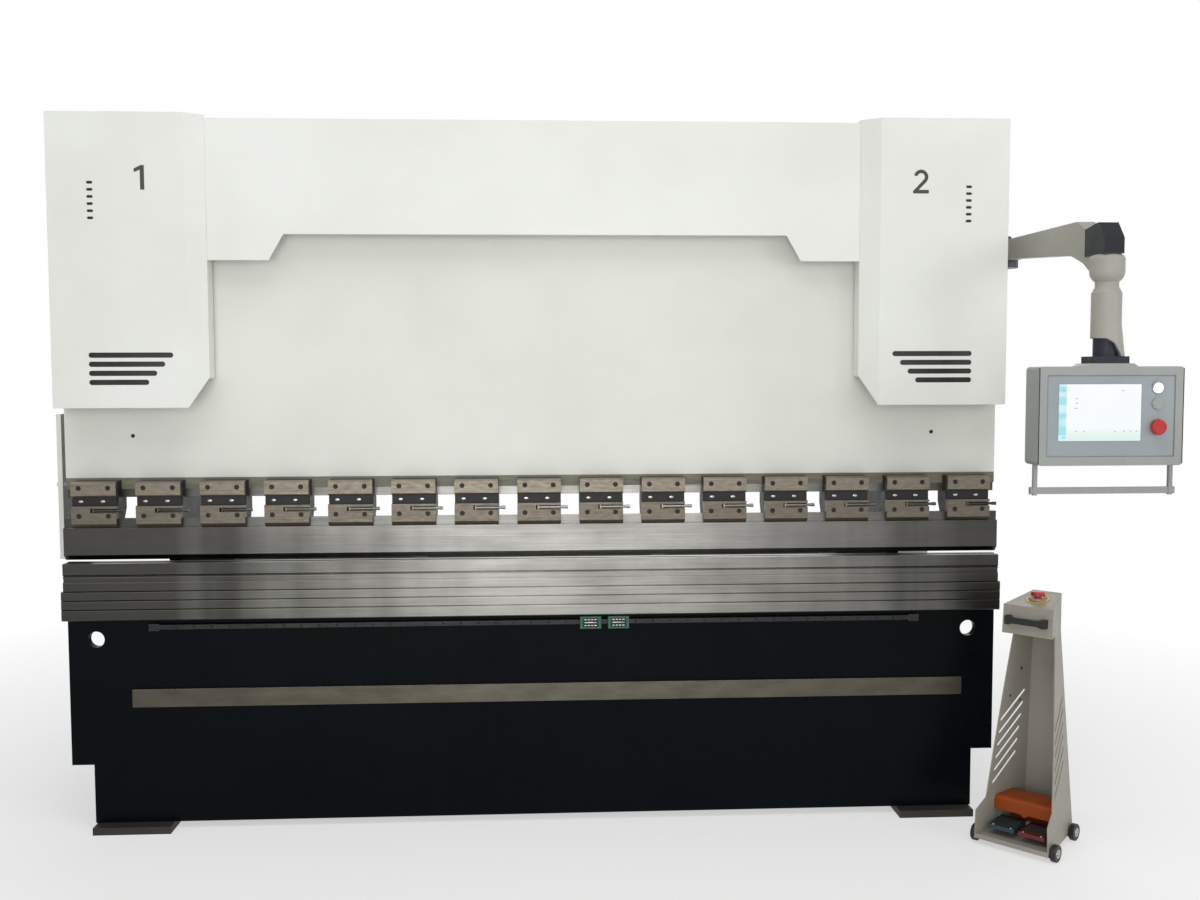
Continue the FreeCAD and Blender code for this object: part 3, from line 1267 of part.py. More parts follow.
def arm_beam():
    """The arm seen from its side: it deepens toward the elbow and sweeps down into it."""
    rear_y = PENDANT_Y + CAP_REAR
    outline = [
        (PENDANT_PIVOT_Y, ARM_EYE_LOW_Z + SEAT_GAP),
        (PENDANT_PIVOT_Y - 2 * SUPPORT_HALF, ARM_EYE_LOW_Z + SEAT_GAP),
        (rear_y + ARM_KNEE_Y, ARM_EYE_LOW_Z - ARM_KNEE_DROP),
        (rear_y + ARM_THROAT_Y, ARM_EYE_LOW_Z - ARM_THROAT_DROP),
        (rear_y + ARM_THROAT_MID_Y, ARM_EYE_LOW_Z - ARM_THROAT_MID_DROP),
        (PENDANT_Y + DOME_R - DOME_BULGE, DOME_LOW_Z),
        (PENDANT_Y, DOME_LOW_Z),
        (PENDANT_Y, CAP_TOP_Z - CAP_FALL_Z),
        (rear_y, CAP_TOP_Z - CAP_FALL_Z),
        (rear_y + ARM_RISE_Y, ARM_EYE_TOP_Z - ARM_RISE_DROP),
        (PENDANT_PIVOT_Y, ARM_EYE_TOP_Z),
    ]
    return prism_yz(outline, PENDANT_X - ARM_W / 2, PENDANT_X + ARM_W / 2)


def elbow_cap():
    """The faceted cap over the elbow, chamfered toward the front."""
    half = ARM_W / 2 + CAP_SIDE
    rear_y = PENDANT_Y + CAP_REAR
    front_y = PENDANT_Y - CAP_FRONT
    outline = [
        (rear_y, CAP_TOP_Z - CAP_H),
        (rear_y, CAP_TOP_Z - CAP_FALL_Z),
        (rear_y - CAP_FALL_Y, CAP_TOP_Z),
        (front_y + CAP_CHAMFER_Y, CAP_TOP_Z),
        (front_y, CAP_TOP_Z - CAP_CHAMFER_Z),
        (front_y, CAP_TOP_Z - CAP_H),
    ]
    return prism_yz(outline, PENDANT_X - half, PENDANT_X + half)


def elbow_and_tube():
    """The round elbow, its neck and the tube's straight part, turned about one upright line."""
    x = PENDANT_X
    y = PENDANT_Y
    top = CAP_TOP_Z - CAP_H
    waist_z = DOME_LOW_Z - DOME_TAPER_H
    e = DOME_EDGE_R
    sag = e * (1 - math.sqrt(0.5))
    crown = Vector(x + DOME_R - e, y, top)
    shoulder = Vector(x + DOME_R, y, top - e)
    belly = Vector(x + DOME_R, y, DOME_LOW_Z)
    waist = Vector(x + NECK_R, y, waist_z)
    bulge = Vector(x + (DOME_R + NECK_R) / 2 + DOME_BULGE, y, (DOME_LOW_Z + waist_z) / 2 - DOME_BULGE)
    corners = [
        waist,
        Vector(x + NECK_R, y, TUBE_TOP_Z),
        Vector(x + TUBE_R, y, TUBE_TOP_Z - TUBE_SHOULDER_H),
        Vector(x + TUBE_R, y, TUBE_LOW_Z + TUBE_FLARE_H),
        Vector(x, y, TUBE_LOW_Z + TUBE_FLARE_H),
        Vector(x, y, top),
        crown,
    ]
    edges = [line(a, b) for a, b in zip(corners, corners[1:])]
    edges.append(arc(crown, Vector(x + DOME_R - sag, y, top - sag), shoulder))
    edges.append(line(shoulder, belly))
    edges.append(arc(belly, bulge, waist))
    face = Part.Face(Part.Wire(Part.__sortEdges__(edges)))
    return face.revolve(Vector(x, y, 0), Vector(0, 0, 1), 360)


def tube_flare():
    """The tube's lower end, widening to one side."""
    rings = []
    for shift, z, radius in ((0, TUBE_LOW_Z + TUBE_FLARE_H, TUBE_R), (TUBE_FLARE_X, TUBE_LOW_Z, TUBE_FLARE_R)):
        ring = Part.Circle(Vector(PENDANT_X + shift, PENDANT_Y, z), Vector(0, 0, 1), radius)
        rings.append(Part.Wire(ring.toShape()))
    return Part.makeLoft(rings, True)


def tube_end_cutter():
    """The cut that leaves the tube's end slanted, so that the swivel shows at its left."""
    low = TUBE_LOW_Z - 1
    r = TUBE_R
    h = TUBE_CUT_H
    outline = [
        (PENDANT_X - 2 * r, low),
        (PENDANT_X + 0.65 * r, low),
        (PENDANT_X + 0.55 * r, low + 0.2 * h),
        (PENDANT_X + 0.15 * r, low + 0.68 * h),
        (PENDANT_X - 0.35 * r, low + 0.92 * h),
        (PENDANT_X - 2 * r, low + h),
    ]
    return prism_xz(outline, PENDANT_Y - 2 * r, PENDANT_Y + 2 * r)


def box_front_y():
    """The front face of the pendant box."""
    return PENDANT_Y - BOX_DEPTH / 2


def pendant_box():
    """The control box with its sunk panel, swivel collar and handle."""
    y0 = box_front_y()
    y1 = y0 + BOX_DEPTH
    x0 = PENDANT_X - BOX_HALF
    x1 = PENDANT_X + BOX_HALF
    case = rounded(box(x0, x1, y0, y1, BOX_LOW_Z, BOX_TOP_Z), BOX_EDGE_R,
                   lambda edge: runs_along(edge, Vector(0, 1, 0)))
    foot = BOX_PEAK_HALF + BOX_PEAK_SLOPE
    peak = prism_xz([
        (PENDANT_X - foot, BOX_TOP_Z - 1),
        (PENDANT_X + foot, BOX_TOP_Z - 1),
        (PENDANT_X + foot, BOX_TOP_Z),
        (PENDANT_X + BOX_PEAK_HALF, BOX_TOP_Z + BOX_PEAK_H),
        (PENDANT_X - BOX_PEAK_HALF, BOX_TOP_Z + BOX_PEAK_H),
        (PENDANT_X - foot, BOX_TOP_Z),
    ], y0, y1)
    m = BOX_PANEL_MARGIN
    sunk = box(x0 + m, x1 - m, y0 - 1, y0 + BOX_PANEL_DEPTH, BOX_LOW_Z + m, BOX_TOP_Z - m)
    pieces = [case.cut(sunk), peak] + swivel()
    floor_y = y0 + BOX_PANEL_DEPTH
    forward = Vector(0, -1, 0)
    for z in (LAMP_Z, BUTTON_Z):
        centre = Vector(PENDANT_X + ESTOP_X, floor_y + 1, z)
        pieces.append(rod(centre, forward, LAMP_H + 1, LAMP_R))
    bar_z = BOX_LOW_Z - HANDLE_DROP
    bar_y = PENDANT_Y - HANDLE_BAR_THICK / 2
    pieces.append(box(PENDANT_X - HANDLE_HALF, PENDANT_X + HANDLE_HALF, bar_y, bar_y + HANDLE_BAR_THICK,
                      bar_z - HANDLE_BAR_H / 2, bar_z + HANDLE_BAR_H / 2))
    for side in (-1, 1):
        leg_x = PENDANT_X + side * (HANDLE_HALF - HANDLE_LEG_INSET - HANDLE_LEG / 2) - HANDLE_LEG / 2
        leg_y = PENDANT_Y - HANDLE_LEG / 2
        pieces.append(box(leg_x, leg_x + HANDLE_LEG, leg_y, leg_y + HANDLE_LEG,
                          bar_z - HANDLE_BAR_H / 2 - HANDLE_LEG_OUT, BOX_LOW_Z))
    whole = joined(pieces)
    stem_hole = rod(Vector(PENDANT_X + ESTOP_X, floor_y - 1, ESTOP_Z), Vector(0, 1, 0),
                    ESTOP_STEM_H + 6, ESTOP_STEM_R + SEAT_GAP)
    return whole.cut(stem_hole)


def swivel():
    """The block on the box's peak and the round spigot that turns in the tube."""
    low = BOX_TOP_Z + BOX_PEAK_H - 1
    base_top = low + 1 + SWIVEL_BASE_H
    base = box(PENDANT_X - SWIVEL_BASE_W / 2, PENDANT_X + SWIVEL_BASE_W / 2,
               PENDANT_Y - SWIVEL_BASE_D / 2, PENDANT_Y + SWIVEL_BASE_D / 2, low, base_top)
    spigot = rod(Vector(PENDANT_X, PENDANT_Y, low), Vector(0, 0, 1), SWIVEL_TOP_Z - low, SWIVEL_R)
    return [base, spigot]


def mushroom(base, direction):
    """A stop button: a stem through its panel and a domed cap on it."""
    stem_start = base - direction * (ESTOP_STEM_H - ESTOP_SINK)
    stem = rod(stem_start, direction, ESTOP_STEM_H + ESTOP_SINK, ESTOP_STEM_R)
    cap_start = base + direction * (2 * ESTOP_SINK)
    cap = rod(cap_start, direction, ESTOP_CAP_H, ESTOP_CAP_R)
    rim = [edge for edge in cap.Edges if is_outer_rim(edge, cap_start, direction)]
    cap = cap.makeFillet(ESTOP_CAP_ROUND, rim)
    return joined([stem, cap])


def is_outer_rim(edge, start, direction):
    """True for the circle at the far end of a cap."""
    if not isinstance(edge.Curve, Part.Circle):
        return False
    return edge.Curve.Center.sub(start).dot(direction) > ESTOP_CAP_H / 2


def pendant_estop():
    """The stop button on the pendant."""
    base = Vector(PENDANT_X + ESTOP_X, box_front_y() + BOX_PANEL_DEPTH, ESTOP_Z)
    return mushroom(base, Vector(0, -1, 0))


# Side guard

def guard_post():
    """The hinge post beside the left frame, on two arms."""
    up = Vector(0, 0, 1)
    x = GUARD_X
    low = SIDE_GUARD_LOW_Z - POST_OVERHANG - POST_ARM_H
    top = SIDE_GUARD_TOP_Z + POST_OVERHANG + POST_ARM_H
    post = rod(Vector(x, GUARD_HINGE_Y, low), up, top - low, POST_R)
    pieces = [post]
    arm_rear = THROAT_BACK_Y + 2 * POST_ARM_W
    for z in (low, top - POST_ARM_H):
        pieces.append(prism_xy([
            (x - POST_R, GUARD_HINGE_Y - POST_R),
            (x + POST_R, GUARD_HINGE_Y - POST_R),
            (-FRAME_OUT_X, THROAT_BACK_Y + POST_ARM_W),
            (-FRAME_OUT_X, arm_rear),
            (-FRAME_OUT_X - POST_ARM_FOOT, arm_rear),
            (x - POST_R, GUARD_HINGE_Y + POST_R),
        ], z, z + POST_ARM_H))
    return joined(pieces)


def side_guard():
    """The perforated guard sheet, hinged on its post."""
    x = GUARD_X
    t = SHEET
    z0 = SIDE_GUARD_LOW_Z
    z1 = SIDE_GUARD_TOP_Z
    up = Vector(0, 0, 1)
    sheet = box(x - t / 2, x + t / 2, GUARD_FRONT_Y, GUARD_HINGE_Y - POST_R - 1, z0, z1)
    edge = box(x - GUARD_EDGE / 2, x + GUARD_EDGE / 2, GUARD_FRONT_Y, GUARD_FRONT_Y + t, z0, z1)
    knob = rod(Vector(x - t / 2 - GUARD_KNOB_OUT, GUARD_FRONT_Y + GUARD_KNOB_INSET, KNOB_Z), Vector(1, 0, 0),
               GUARD_KNOB_LENGTH, GUARD_KNOB_R)
    pieces = [sheet, edge, knob]
    for z in (z0 + SLEEVE_INSET, z1 - SLEEVE_INSET - SLEEVE_H):
        pieces.append(rod(Vector(x, GUARD_HINGE_Y, z), up, SLEEVE_H, POST_R + SLEEVE_WALL))
    bore = rod(Vector(x, GUARD_HINGE_Y, z0 - 1), up, z1 - z0 + 2, POST_R + PIN_CLEARANCE)
    return joined(pieces).cut([bore] + guard_holes())


def guard_holes():
    """Cutters for a column of small holes at the guard's top and a double column at its middle."""
    grid_top = (SIDE_GUARD_LOW_Z + SIDE_GUARD_TOP_Z) / 2 - GUARD_GRID_DROP
    holes = []
    for row in range(GUARD_HOLE_ROWS):
        drop = row * GUARD_HOLE_PITCH
        spots = [
            (GUARD_HOLE_Y, SIDE_GUARD_TOP_Z - GUARD_HOLE_INSET - drop),
            (GUARD_HOLE_Y, grid_top - drop),
            (GUARD_HOLE_Y + GUARD_HOLE_STEP, grid_top - drop),
        ]
        for y, z in spots:
            holes.append(rod(Vector(GUARD_X - SHEET, y, z), Vector(1, 0, 0), 2 * SHEET, GUARD_HOLE_R))
    return holes


# Foot console

def placed_console(shape):
    """Moves a shape from the console's own frame to its place on the floor."""
    shape.rotate(Vector(0, 0, 0), Vector(0, 0, 1), CONSOLE_YAW)
    shape.translate(Vector(CONSOLE_X, CONSOLE_Y, 0))
    return shape


def tower_wire(half, rear_half, depth, z, inset):
    """The tower's plan at one height, begun a little before its front and moved in by an inset."""
    spread = (half - rear_half) / depth
    f = half + spread * CONSOLE_LEAD - inset
    r = rear_half - inset
    v0 = -CONSOLE_LEAD
    v1 = depth - inset
    corners = [Vector(-f, v0, z), Vector(f, v0, z), Vector(r, v1, z), Vector(-r, v1, z)]
    return Part.makePolygon(corners + [corners[0]])


def tower_solid(inset):
    """The tapering tower as a solid, whole or moved in by an inset."""
    return Part.makeLoft([
        tower_wire(CONSOLE_BASE_HALF, CONSOLE_BASE_REAR_HALF, CONSOLE_BASE_DEPTH, CONSOLE_LOW_Z, inset),
        tower_wire(CONSOLE_NECK_HALF, CONSOLE_NECK_REAR_HALF, CONSOLE_NECK_DEPTH, CONSOLE_NECK_Z, inset),
    ], True)


def tower_front_cutter():
    """What lies before the side walls' front edges: upright at the skirt, then leaning back."""
    front = -2 * CONSOLE_LEAD
    reach = CONSOLE_BASE_HALF + CONSOLE_LEAD
    outline = [
        (front, CONSOLE_LOW_Z - 1),
        (0, CONSOLE_LOW_Z - 1),
        (0, CONSOLE_SKIRT_Z),
        (CONSOLE_LEDGE_V, CONSOLE_LEDGE_Z),
        (CONSOLE_EDGE_V, CONSOLE_NECK_Z),
        (CONSOLE_EDGE_V, CONSOLE_NECK_Z + 1),
        (front, CONSOLE_NECK_Z + 1),
    ]
    return prism_yz(outline, -reach, reach)


def wall_slot(v, z):
    """A slanted slot with round ends, cut through both side walls."""
    r = WALL_SLOT_H / 2
    across = Vector(1, 0, 0)
    through = 2 * CONSOLE_BASE_HALF + CONSOLE_LEAD
    rise = math.radians(WALL_SLOT_RISE)
    start = Vector(-through / 2, v, z)
    end = start + Vector(0, math.cos(rise), math.sin(rise)) * WALL_SLOT_LENGTH
    side = Vector(0, -math.sin(rise), math.cos(rise)) * r
    bar = prism([start - side, end - side, end + side, start + side], across * through)
    return joined([bar, rod(start, across, through, r), rod(end, across, through, r)])


def console_body():
    """The sheet tower: two slotted sides and a back, a floor pan and the closed head."""
    outer = tower_solid(0).cut(tower_front_cutter())
    slots = [wall_slot(WALL_SLOT_V + row * WALL_SLOT_V_STEP, WALL_SLOT_Z + row * WALL_SLOT_PITCH)
             for row in range(WALL_SLOT_COUNT)]
    walls = outer.cut([tower_solid(SHEET)] + slots)
    reach = CONSOLE_BASE_HALF
    pan = box(-reach, reach, 0, CONSOLE_BASE_DEPTH, CONSOLE_LOW_Z, CONSOLE_PAN_Z).common(outer)
    lip = box(-reach, reach, 0, SHEET, CONSOLE_LOW_Z, CONSOLE_LIP_Z).common(outer)
    collar_z = console_top_z() - SHEET
    up = Vector(0, 0, 1)
    collar = rod(Vector(0, CONSOLE_ESTOP_V, collar_z), up, ESTOP_COLLAR_H + SHEET, ESTOP_COLLAR_R)
    stem = rod(Vector(0, CONSOLE_ESTOP_V, collar_z - ESTOP_STEM_H), up, 2 * ESTOP_STEM_H + SHEET,
               ESTOP_STEM_R + SEAT_GAP)
    whole = joined([walls, pan, lip, console_head(), collar] + pedal_bearings()).cut(stem)
    return placed_console(whole)


def console_head():
    """The closed head with its sloping top, wider than the tower at the front."""
    low = CONSOLE_NECK_Z - HEAD_OVERLAP
    rear_v = CONSOLE_NECK_DEPTH
    head = prism_yz([
        (HEAD_FRONT_V - HEAD_LEAN, low),
        (rear_v, low),
        (rear_v, HEAD_REAR_Z),
        (HEAD_FRONT_V, HEAD_FRONT_Z),
    ], -HEAD_FRONT_HALF - 1, HEAD_FRONT_HALF + 1)
    front_v = HEAD_FRONT_V - HEAD_LEAN - 1
    plan = prism_xy([
        (-HEAD_FRONT_HALF, front_v),
        (HEAD_FRONT_HALF, front_v),
        (HEAD_REAR_HALF, rear_v + 1),
        (-HEAD_REAR_HALF, rear_v + 1),
    ], low, HEAD_REAR_Z)
    return head.common(plan)


def pedal_axis_v():
    """The depth of the pedals' pin."""
    return PEDAL_FRONT_V + PEDAL_LENGTH


def pedal_bearings():
    """Three lugs on the pan and the pin through them."""
    v = pedal_axis_v()
    z = PEDAL_Z + PEDAL_PIN_R
    reach = PEDAL_OFFSET_U + PEDAL_W / 2 + SEAT_GAP
    inner = PEDAL_OFFSET_U - PEDAL_W / 2 - SEAT_GAP
    spans = [(-reach - PEDAL_LUG, -reach), (-inner, inner), (reach, reach + PEDAL_LUG)]
    lugs = [box(u0, u1, v - 2 * PEDAL_PIN_R, v + 2 * PEDAL_PIN_R, CONSOLE_PAN_Z - 1, z + 2 * PEDAL_PIN_R)
            for u0, u1 in spans]
    pin = rod(Vector(-reach, v, z), Vector(1, 0, 0), 2 * reach, PEDAL_PIN_R)
    return lugs + [pin]


def console_top_z():
    """The height of the sloping head top at the stop button."""
    share = (CONSOLE_ESTOP_V - HEAD_FRONT_V) / (CONSOLE_NECK_DEPTH - HEAD_FRONT_V)
    return HEAD_FRONT_Z + share * (HEAD_REAR_Z - HEAD_FRONT_Z)


def console_fittings():
    """Casters beside the tower's four lower corners and the grip on its head."""
    pieces = [console_grip()]
    spread = (CONSOLE_BASE_HALF - CONSOLE_BASE_REAR_HALF) / CONSOLE_BASE_DEPTH
    for v in (CASTER_V, CONSOLE_BASE_DEPTH - CASTER_V):
        wall_u = CONSOLE_BASE_HALF - spread * v
        right = caster(wall_u, v)
        pieces.extend([right, mirrored(right)])
    return placed_console(Part.makeCompound(pieces))


def caster(wall_u, v):
    """A wheel beside the wall on a flat bracket that runs under the body."""
    u0 = wall_u + CASTER_OUT
    wheel = rod(Vector(u0, v, CASTER_R), Vector(1, 0, 0), CASTER_W, CASTER_R)
    wheel = rounded(wheel, CASTER_EDGE_R, lambda edge: isinstance(edge.Curve, Part.Circle))
    fork = box(wall_u - CASTER_FORK_REACH, u0 + CASTER_W / 2, v - CASTER_FORK_HALF, v + CASTER_FORK_HALF,
               CONSOLE_LOW_Z - CASTER_FORK, CONSOLE_LOW_Z)
    return joined([wheel, fork])


def head_face_v(z):
    """The depth of the head's leaning front face at a height."""
    slope = HEAD_LEAN / (HEAD_FRONT_Z - CONSOLE_NECK_Z)
    return HEAD_FRONT_V - (HEAD_FRONT_Z - z) * slope


def console_grip():
    """The grip on the head's front: a bar with thicker ends that stand on the face."""
    end = GRIP_END_H / 2
    middle = GRIP_MID_H / 2
    inner = GRIP_HALF - GRIP_END_W
    waist = inner - GRIP_SLOPE
    low = GRIP_Z - end
    high = GRIP_Z + end
    outline = [
        (-GRIP_HALF, low),
        (-inner, low),
        (-waist, GRIP_Z - middle),
        (waist, GRIP_Z - middle),
        (inner, low),
        (GRIP_HALF, low),
        (GRIP_HALF, high),
        (inner, high),
        (waist, GRIP_Z + middle),
        (-waist, GRIP_Z + middle),
        (-inner, high),
        (-GRIP_HALF, high),
    ]
    out_v = head_face_v(GRIP_Z) - GRIP_OUT
    rear_v = out_v + GRIP_THICK
    pieces = [prism_xz(outline, out_v, rear_v)]
    foot = [
        (rear_v - 1, low),
        (head_face_v(low) - SEAT_GAP, low),
        (head_face_v(high) - SEAT_GAP, high),
        (rear_v - 1, high),
    ]
    for u in (-GRIP_HALF, inner):
        pieces.append(prism_yz(foot, u, u + GRIP_END_W))
    return joined(pieces)


def pedal_hood():
    """The guard over the two pedals: a bent sheet with an arch over each of them."""
    t = SHEET
    reach = CONSOLE_BASE_HALF
    sheet = hood_block(reach, HOOD_FRONT_V, HOOD_REAR_V, HOOD_TOP_Z, HOOD_ROUND)
    inside = hood_block(reach + 1, HOOD_FRONT_V + t, HOOD_REAR_V - t, HOOD_TOP_Z - t, HOOD_ROUND - t)
    post = HOOD_POST_HALF
    arch_z = HOOD_LOW_Z + HOOD_ARCH
    mouth = prism_xz([
        (-reach, CONSOLE_PAN_Z - 1),
        (reach, CONSOLE_PAN_Z - 1),
        (reach, arch_z),
        (post + HOOD_ARCH, arch_z),
        (post, HOOD_LOW_Z),
        (-post, HOOD_LOW_Z),
        (-post - HOOD_ARCH, arch_z),
        (-reach, arch_z),
    ], HOOD_FRONT_V - 1, HOOD_FRONT_V + t + 1)
    between_walls = tower_solid(SHEET + HOOD_WALL_GAP)
    return placed_console(sheet.cut([inside, mouth]).common(between_walls))


def hood_block(half, front_v, rear_v, top_z, radius):
    """A block from the pan up, its upper front edge rounded."""
    block = box(-half, half, front_v, rear_v, CONSOLE_PAN_Z, top_z)
    return rounded(block, radius, lambda edge: is_upper_front(edge, front_v, top_z))


def is_upper_front(edge, front_v, top_z):
    """True for the edge where a block's front and top meet."""
    point = edge.CenterOfMass
    return abs(point.y - front_v) < 0.01 and abs(point.z - top_z) < 0.01


def pedal(side):
    """One pedal: a tilting plate on a cross pin in a low bearing."""
    u0 = side * PEDAL_OFFSET_U - PEDAL_W / 2
    rear_v = pedal_axis_v()
    outline = [
        (PEDAL_FRONT_V, PEDAL_Z - PEDAL_DROP),
        (rear_v, PEDAL_Z),
        (rear_v, PEDAL_Z + PEDAL_THICK),
        (PEDAL_FRONT_V + PEDAL_DROP, PEDAL_Z + PEDAL_THICK - PEDAL_DROP),
    ]
    plate = prism_yz(outline, u0, u0 + PEDAL_W)
    across = Vector(1, 0, 0)
    axis = Vector(u0, rear_v, PEDAL_Z + PEDAL_PIN_R)
    boss = rod(axis, across, PEDAL_W, PEDAL_PIN_R + PEDAL_BOSS_WALL)
    bore = rod(axis - across, across, PEDAL_W + 2, PEDAL_PIN_R + PIN_CLEARANCE)
    return placed_console(joined([plate, boss]).cut(bore))


def console_estop():
    """The stop button on top of the console."""
    base = Vector(0, CONSOLE_ESTOP_V, console_top_z() + ESTOP_COLLAR_H)
    return placed_console(mushroom(base, Vector(0, 0, 1)))


def all_nodes():
    """Every sub-part by name."""
    right_frame = side_frame()
    centres = clamp_centres()
    nodes = {
        "left_side_frame": mirrored(right_frame),
        "right_side_frame": right_frame,
        "foot_plates": foot_plates(),
        "bed_front_plate": bed_front_plate(),
        "bed_core": bed_core(),
        "front_bar": front_bar(),
        "front_rail": front_rail(),
        "crowning_base": bevelled_bar(WORK_HALF, BED_TOP_Z, CROWN_BASE_TOP_Z),
        "crowning_lower_wedge": bevelled_bar(WORK_HALF, CROWN_BASE_TOP_Z, LOWER_WEDGE_TOP_Z),
        "crowning_upper_wedge": bevelled_bar(WORK_HALF, LOWER_WEDGE_TOP_Z, UPPER_WEDGE_TOP_Z),
        "die_holder": die_holder(),
        "die_block": die_block(),
        "left_cover": mirrored(cover()),
        "right_cover": right_cover(),
        "header_panel": header_panel(),
        "cylinders": cylinders(),
        "ram_guides": ram_guides(),
        "top_tie_plate": top_tie_plate(),
        "oil_tank": oil_tank(),
        "pump_motor": pump_motor(),
        "backgauge_supports": backgauge_supports(),
        "backgauge_beam": backgauge_beam(),
        "electrical_cabinet": electrical_cabinet(),
        "rear_guard": rear_guard(),
        "pendant_support": pendant_support(),
        "guard_post": guard_post(),
        "console_body": console_body(),
        "console_fittings": console_fittings(),
        "pedal_hood": pedal_hood(),
        "ram_plate": ram_plate(),
        "ram_tool_bar": ram_tool_bar(),
        "cylinder_rods": cylinder_rods(),
        "clamp_bodies": Part.makeCompound([clamp_body(x) for x in centres]),
        "clamp_plates": Part.makeCompound([make(x) for x in centres for make in (upper_plate, lower_plate)]),
        "clamp_inserts": Part.makeCompound([clamp_insert(x) for x in centres]),
        "punch": punch(),
        "left_carriage": rail_carriage(LEFT_CARRIAGE_X),
        "right_carriage": rail_carriage(RIGHT_CARRIAGE_X),
        "side_guard": side_guard(),
        "pendant_arm": pendant_arm(),
        "pendant_box": pendant_box(),
        "pendant_estop": pendant_estop(),
        "console_estop": console_estop(),
        "left_pedal": pedal(-1),
        "right_pedal": pedal(1),
    }
    for index, x in enumerate(centres, start=1):
        nodes["clamp_lever_%02d" % index] = clamp_lever(x)
    return nodes


def main():
    os.makedirs("parts", exist_ok=True)
    for name, shape in all_nodes().items():
        shape.translate(Vector(0, -ORIGIN_Y, 0))
        shape.exportStep(os.path.join("parts", name + ".step"))


main()
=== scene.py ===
import json
import math

import bmesh
import bpy
from mathutils import Matrix, Vector


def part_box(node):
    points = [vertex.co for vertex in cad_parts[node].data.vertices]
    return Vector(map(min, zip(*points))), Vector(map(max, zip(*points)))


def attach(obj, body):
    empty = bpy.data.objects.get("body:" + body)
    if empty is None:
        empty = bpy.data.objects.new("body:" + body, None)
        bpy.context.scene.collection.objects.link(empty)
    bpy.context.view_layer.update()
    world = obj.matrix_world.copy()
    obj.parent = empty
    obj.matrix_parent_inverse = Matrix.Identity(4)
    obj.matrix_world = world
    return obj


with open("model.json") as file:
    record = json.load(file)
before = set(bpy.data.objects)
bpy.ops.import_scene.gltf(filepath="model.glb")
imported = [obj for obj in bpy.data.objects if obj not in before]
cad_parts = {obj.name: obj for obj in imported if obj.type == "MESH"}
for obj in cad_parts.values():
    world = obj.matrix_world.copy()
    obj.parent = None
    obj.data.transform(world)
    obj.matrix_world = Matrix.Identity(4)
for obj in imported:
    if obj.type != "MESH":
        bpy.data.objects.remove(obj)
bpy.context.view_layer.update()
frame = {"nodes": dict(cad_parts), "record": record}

# A press brake: white sheet covers over a dark bed, with ground steel tools between them.
# Lengths are in metres in the frame's own axes; X runs along the bending line and Y to the rear.

MM = 0.001
FRONT = (0, -1, 0)
REAR = (0, 1, 0)
UP = (0, 0, 1)
LEFT = (-1, 0, 0)
RIGHT = (1, 0, 0)
SUNK = 0.2 * MM         # how deep a screw's head starts inside the face that it sits on

# Camera: the place and angles that the photograph was taken from
CAMERA_PLACE = (0.001, -4.721, 1.556)
CAMERA_YAW = math.radians(2.91)
CAMERA_PITCH = math.radians(-3.65)
CAMERA_ROLL = math.radians(-0.16)
CAMERA_LENS = 36.0
CAMERA_SENSOR = 36.0

# Ground steel: where along X the bright middle of its painted reflection is centred
REFLECTION_MIDDLE_X = 0.15

# Ram: the height where its paint starts, and the two small screws on its face
RAM_PAINT_Z = 1.2085
RAM_SCREW_X = 1.368
RAM_SCREW_Z = 1.350

# Quick clamps: fifteen along the ram
CLAMP_COUNT = 15
CLAMP_PITCH = 0.212
CLAMP_SCREW_X = 48 * MM
CLAMP_SCREW_HEIGHTS = (1.179, 1.085)
CLAMP_SCREW_R = 8.5 * MM
INSERT_HEAD_PLACES = (-44 * MM, 28 * MM)
INSERT_HEAD_Z = 1.1335
INSERT_HEAD_HALF_X = 7.5 * MM
INSERT_HEAD_HALF_Z = 4.2 * MM

# Punch: how much lower its nose reaches than the plain solid, and its section
PUNCH_NOSE_DROP = 12 * MM
PUNCH_FRONT_TOP = 1.0435
PUNCH_WEB_TOP = 1.000
PUNCH_WEB_BOTTOM = 0.980
PUNCH_NOSE_DEPTH = 18 * MM
PUNCH_WEB_DEPTH = 9.4 * MM
PUNCH_BACK_RISE = 9 * MM

# Linear rail on the bed, and its carriages
RAIL_HALF = 1.250
RAIL_SCREW_PITCH = 60 * MM
RAIL_Z = 0.703
CARRIAGE_HALF = 36 * MM
CARRIAGE_SEAL = 9 * MM
TRACK_PITCH = 10 * MM
TRACK_HALF = 1.6 * MM

# Floor plates and their anchors
ANCHOR_X = 1.450
ANCHOR_Y = 0.465
FLOOR_PLATE_TOP = 25 * MM

# Covers: the numbers on them, and the groups of slots as inner X, outer X, bottom and top
NUMBER_HEIGHT = 79 * MM
NUMBER_Z = 2.155
LEFT_NUMBER_X = -1.286
RIGHT_NUMBER_X = 1.284
SLOT_GROUPS = ((1.180, 1.480, 1.505, 1.645), (1.425, 1.470, 2.045, 2.195))
COVER_SCREW_SIDE = 30 * MM
COVER_SCREW_END = 45 * MM
ARM_SUPPORT_FRONT = -0.5
ARM_SUPPORT_Z = (1.8, 2.1)

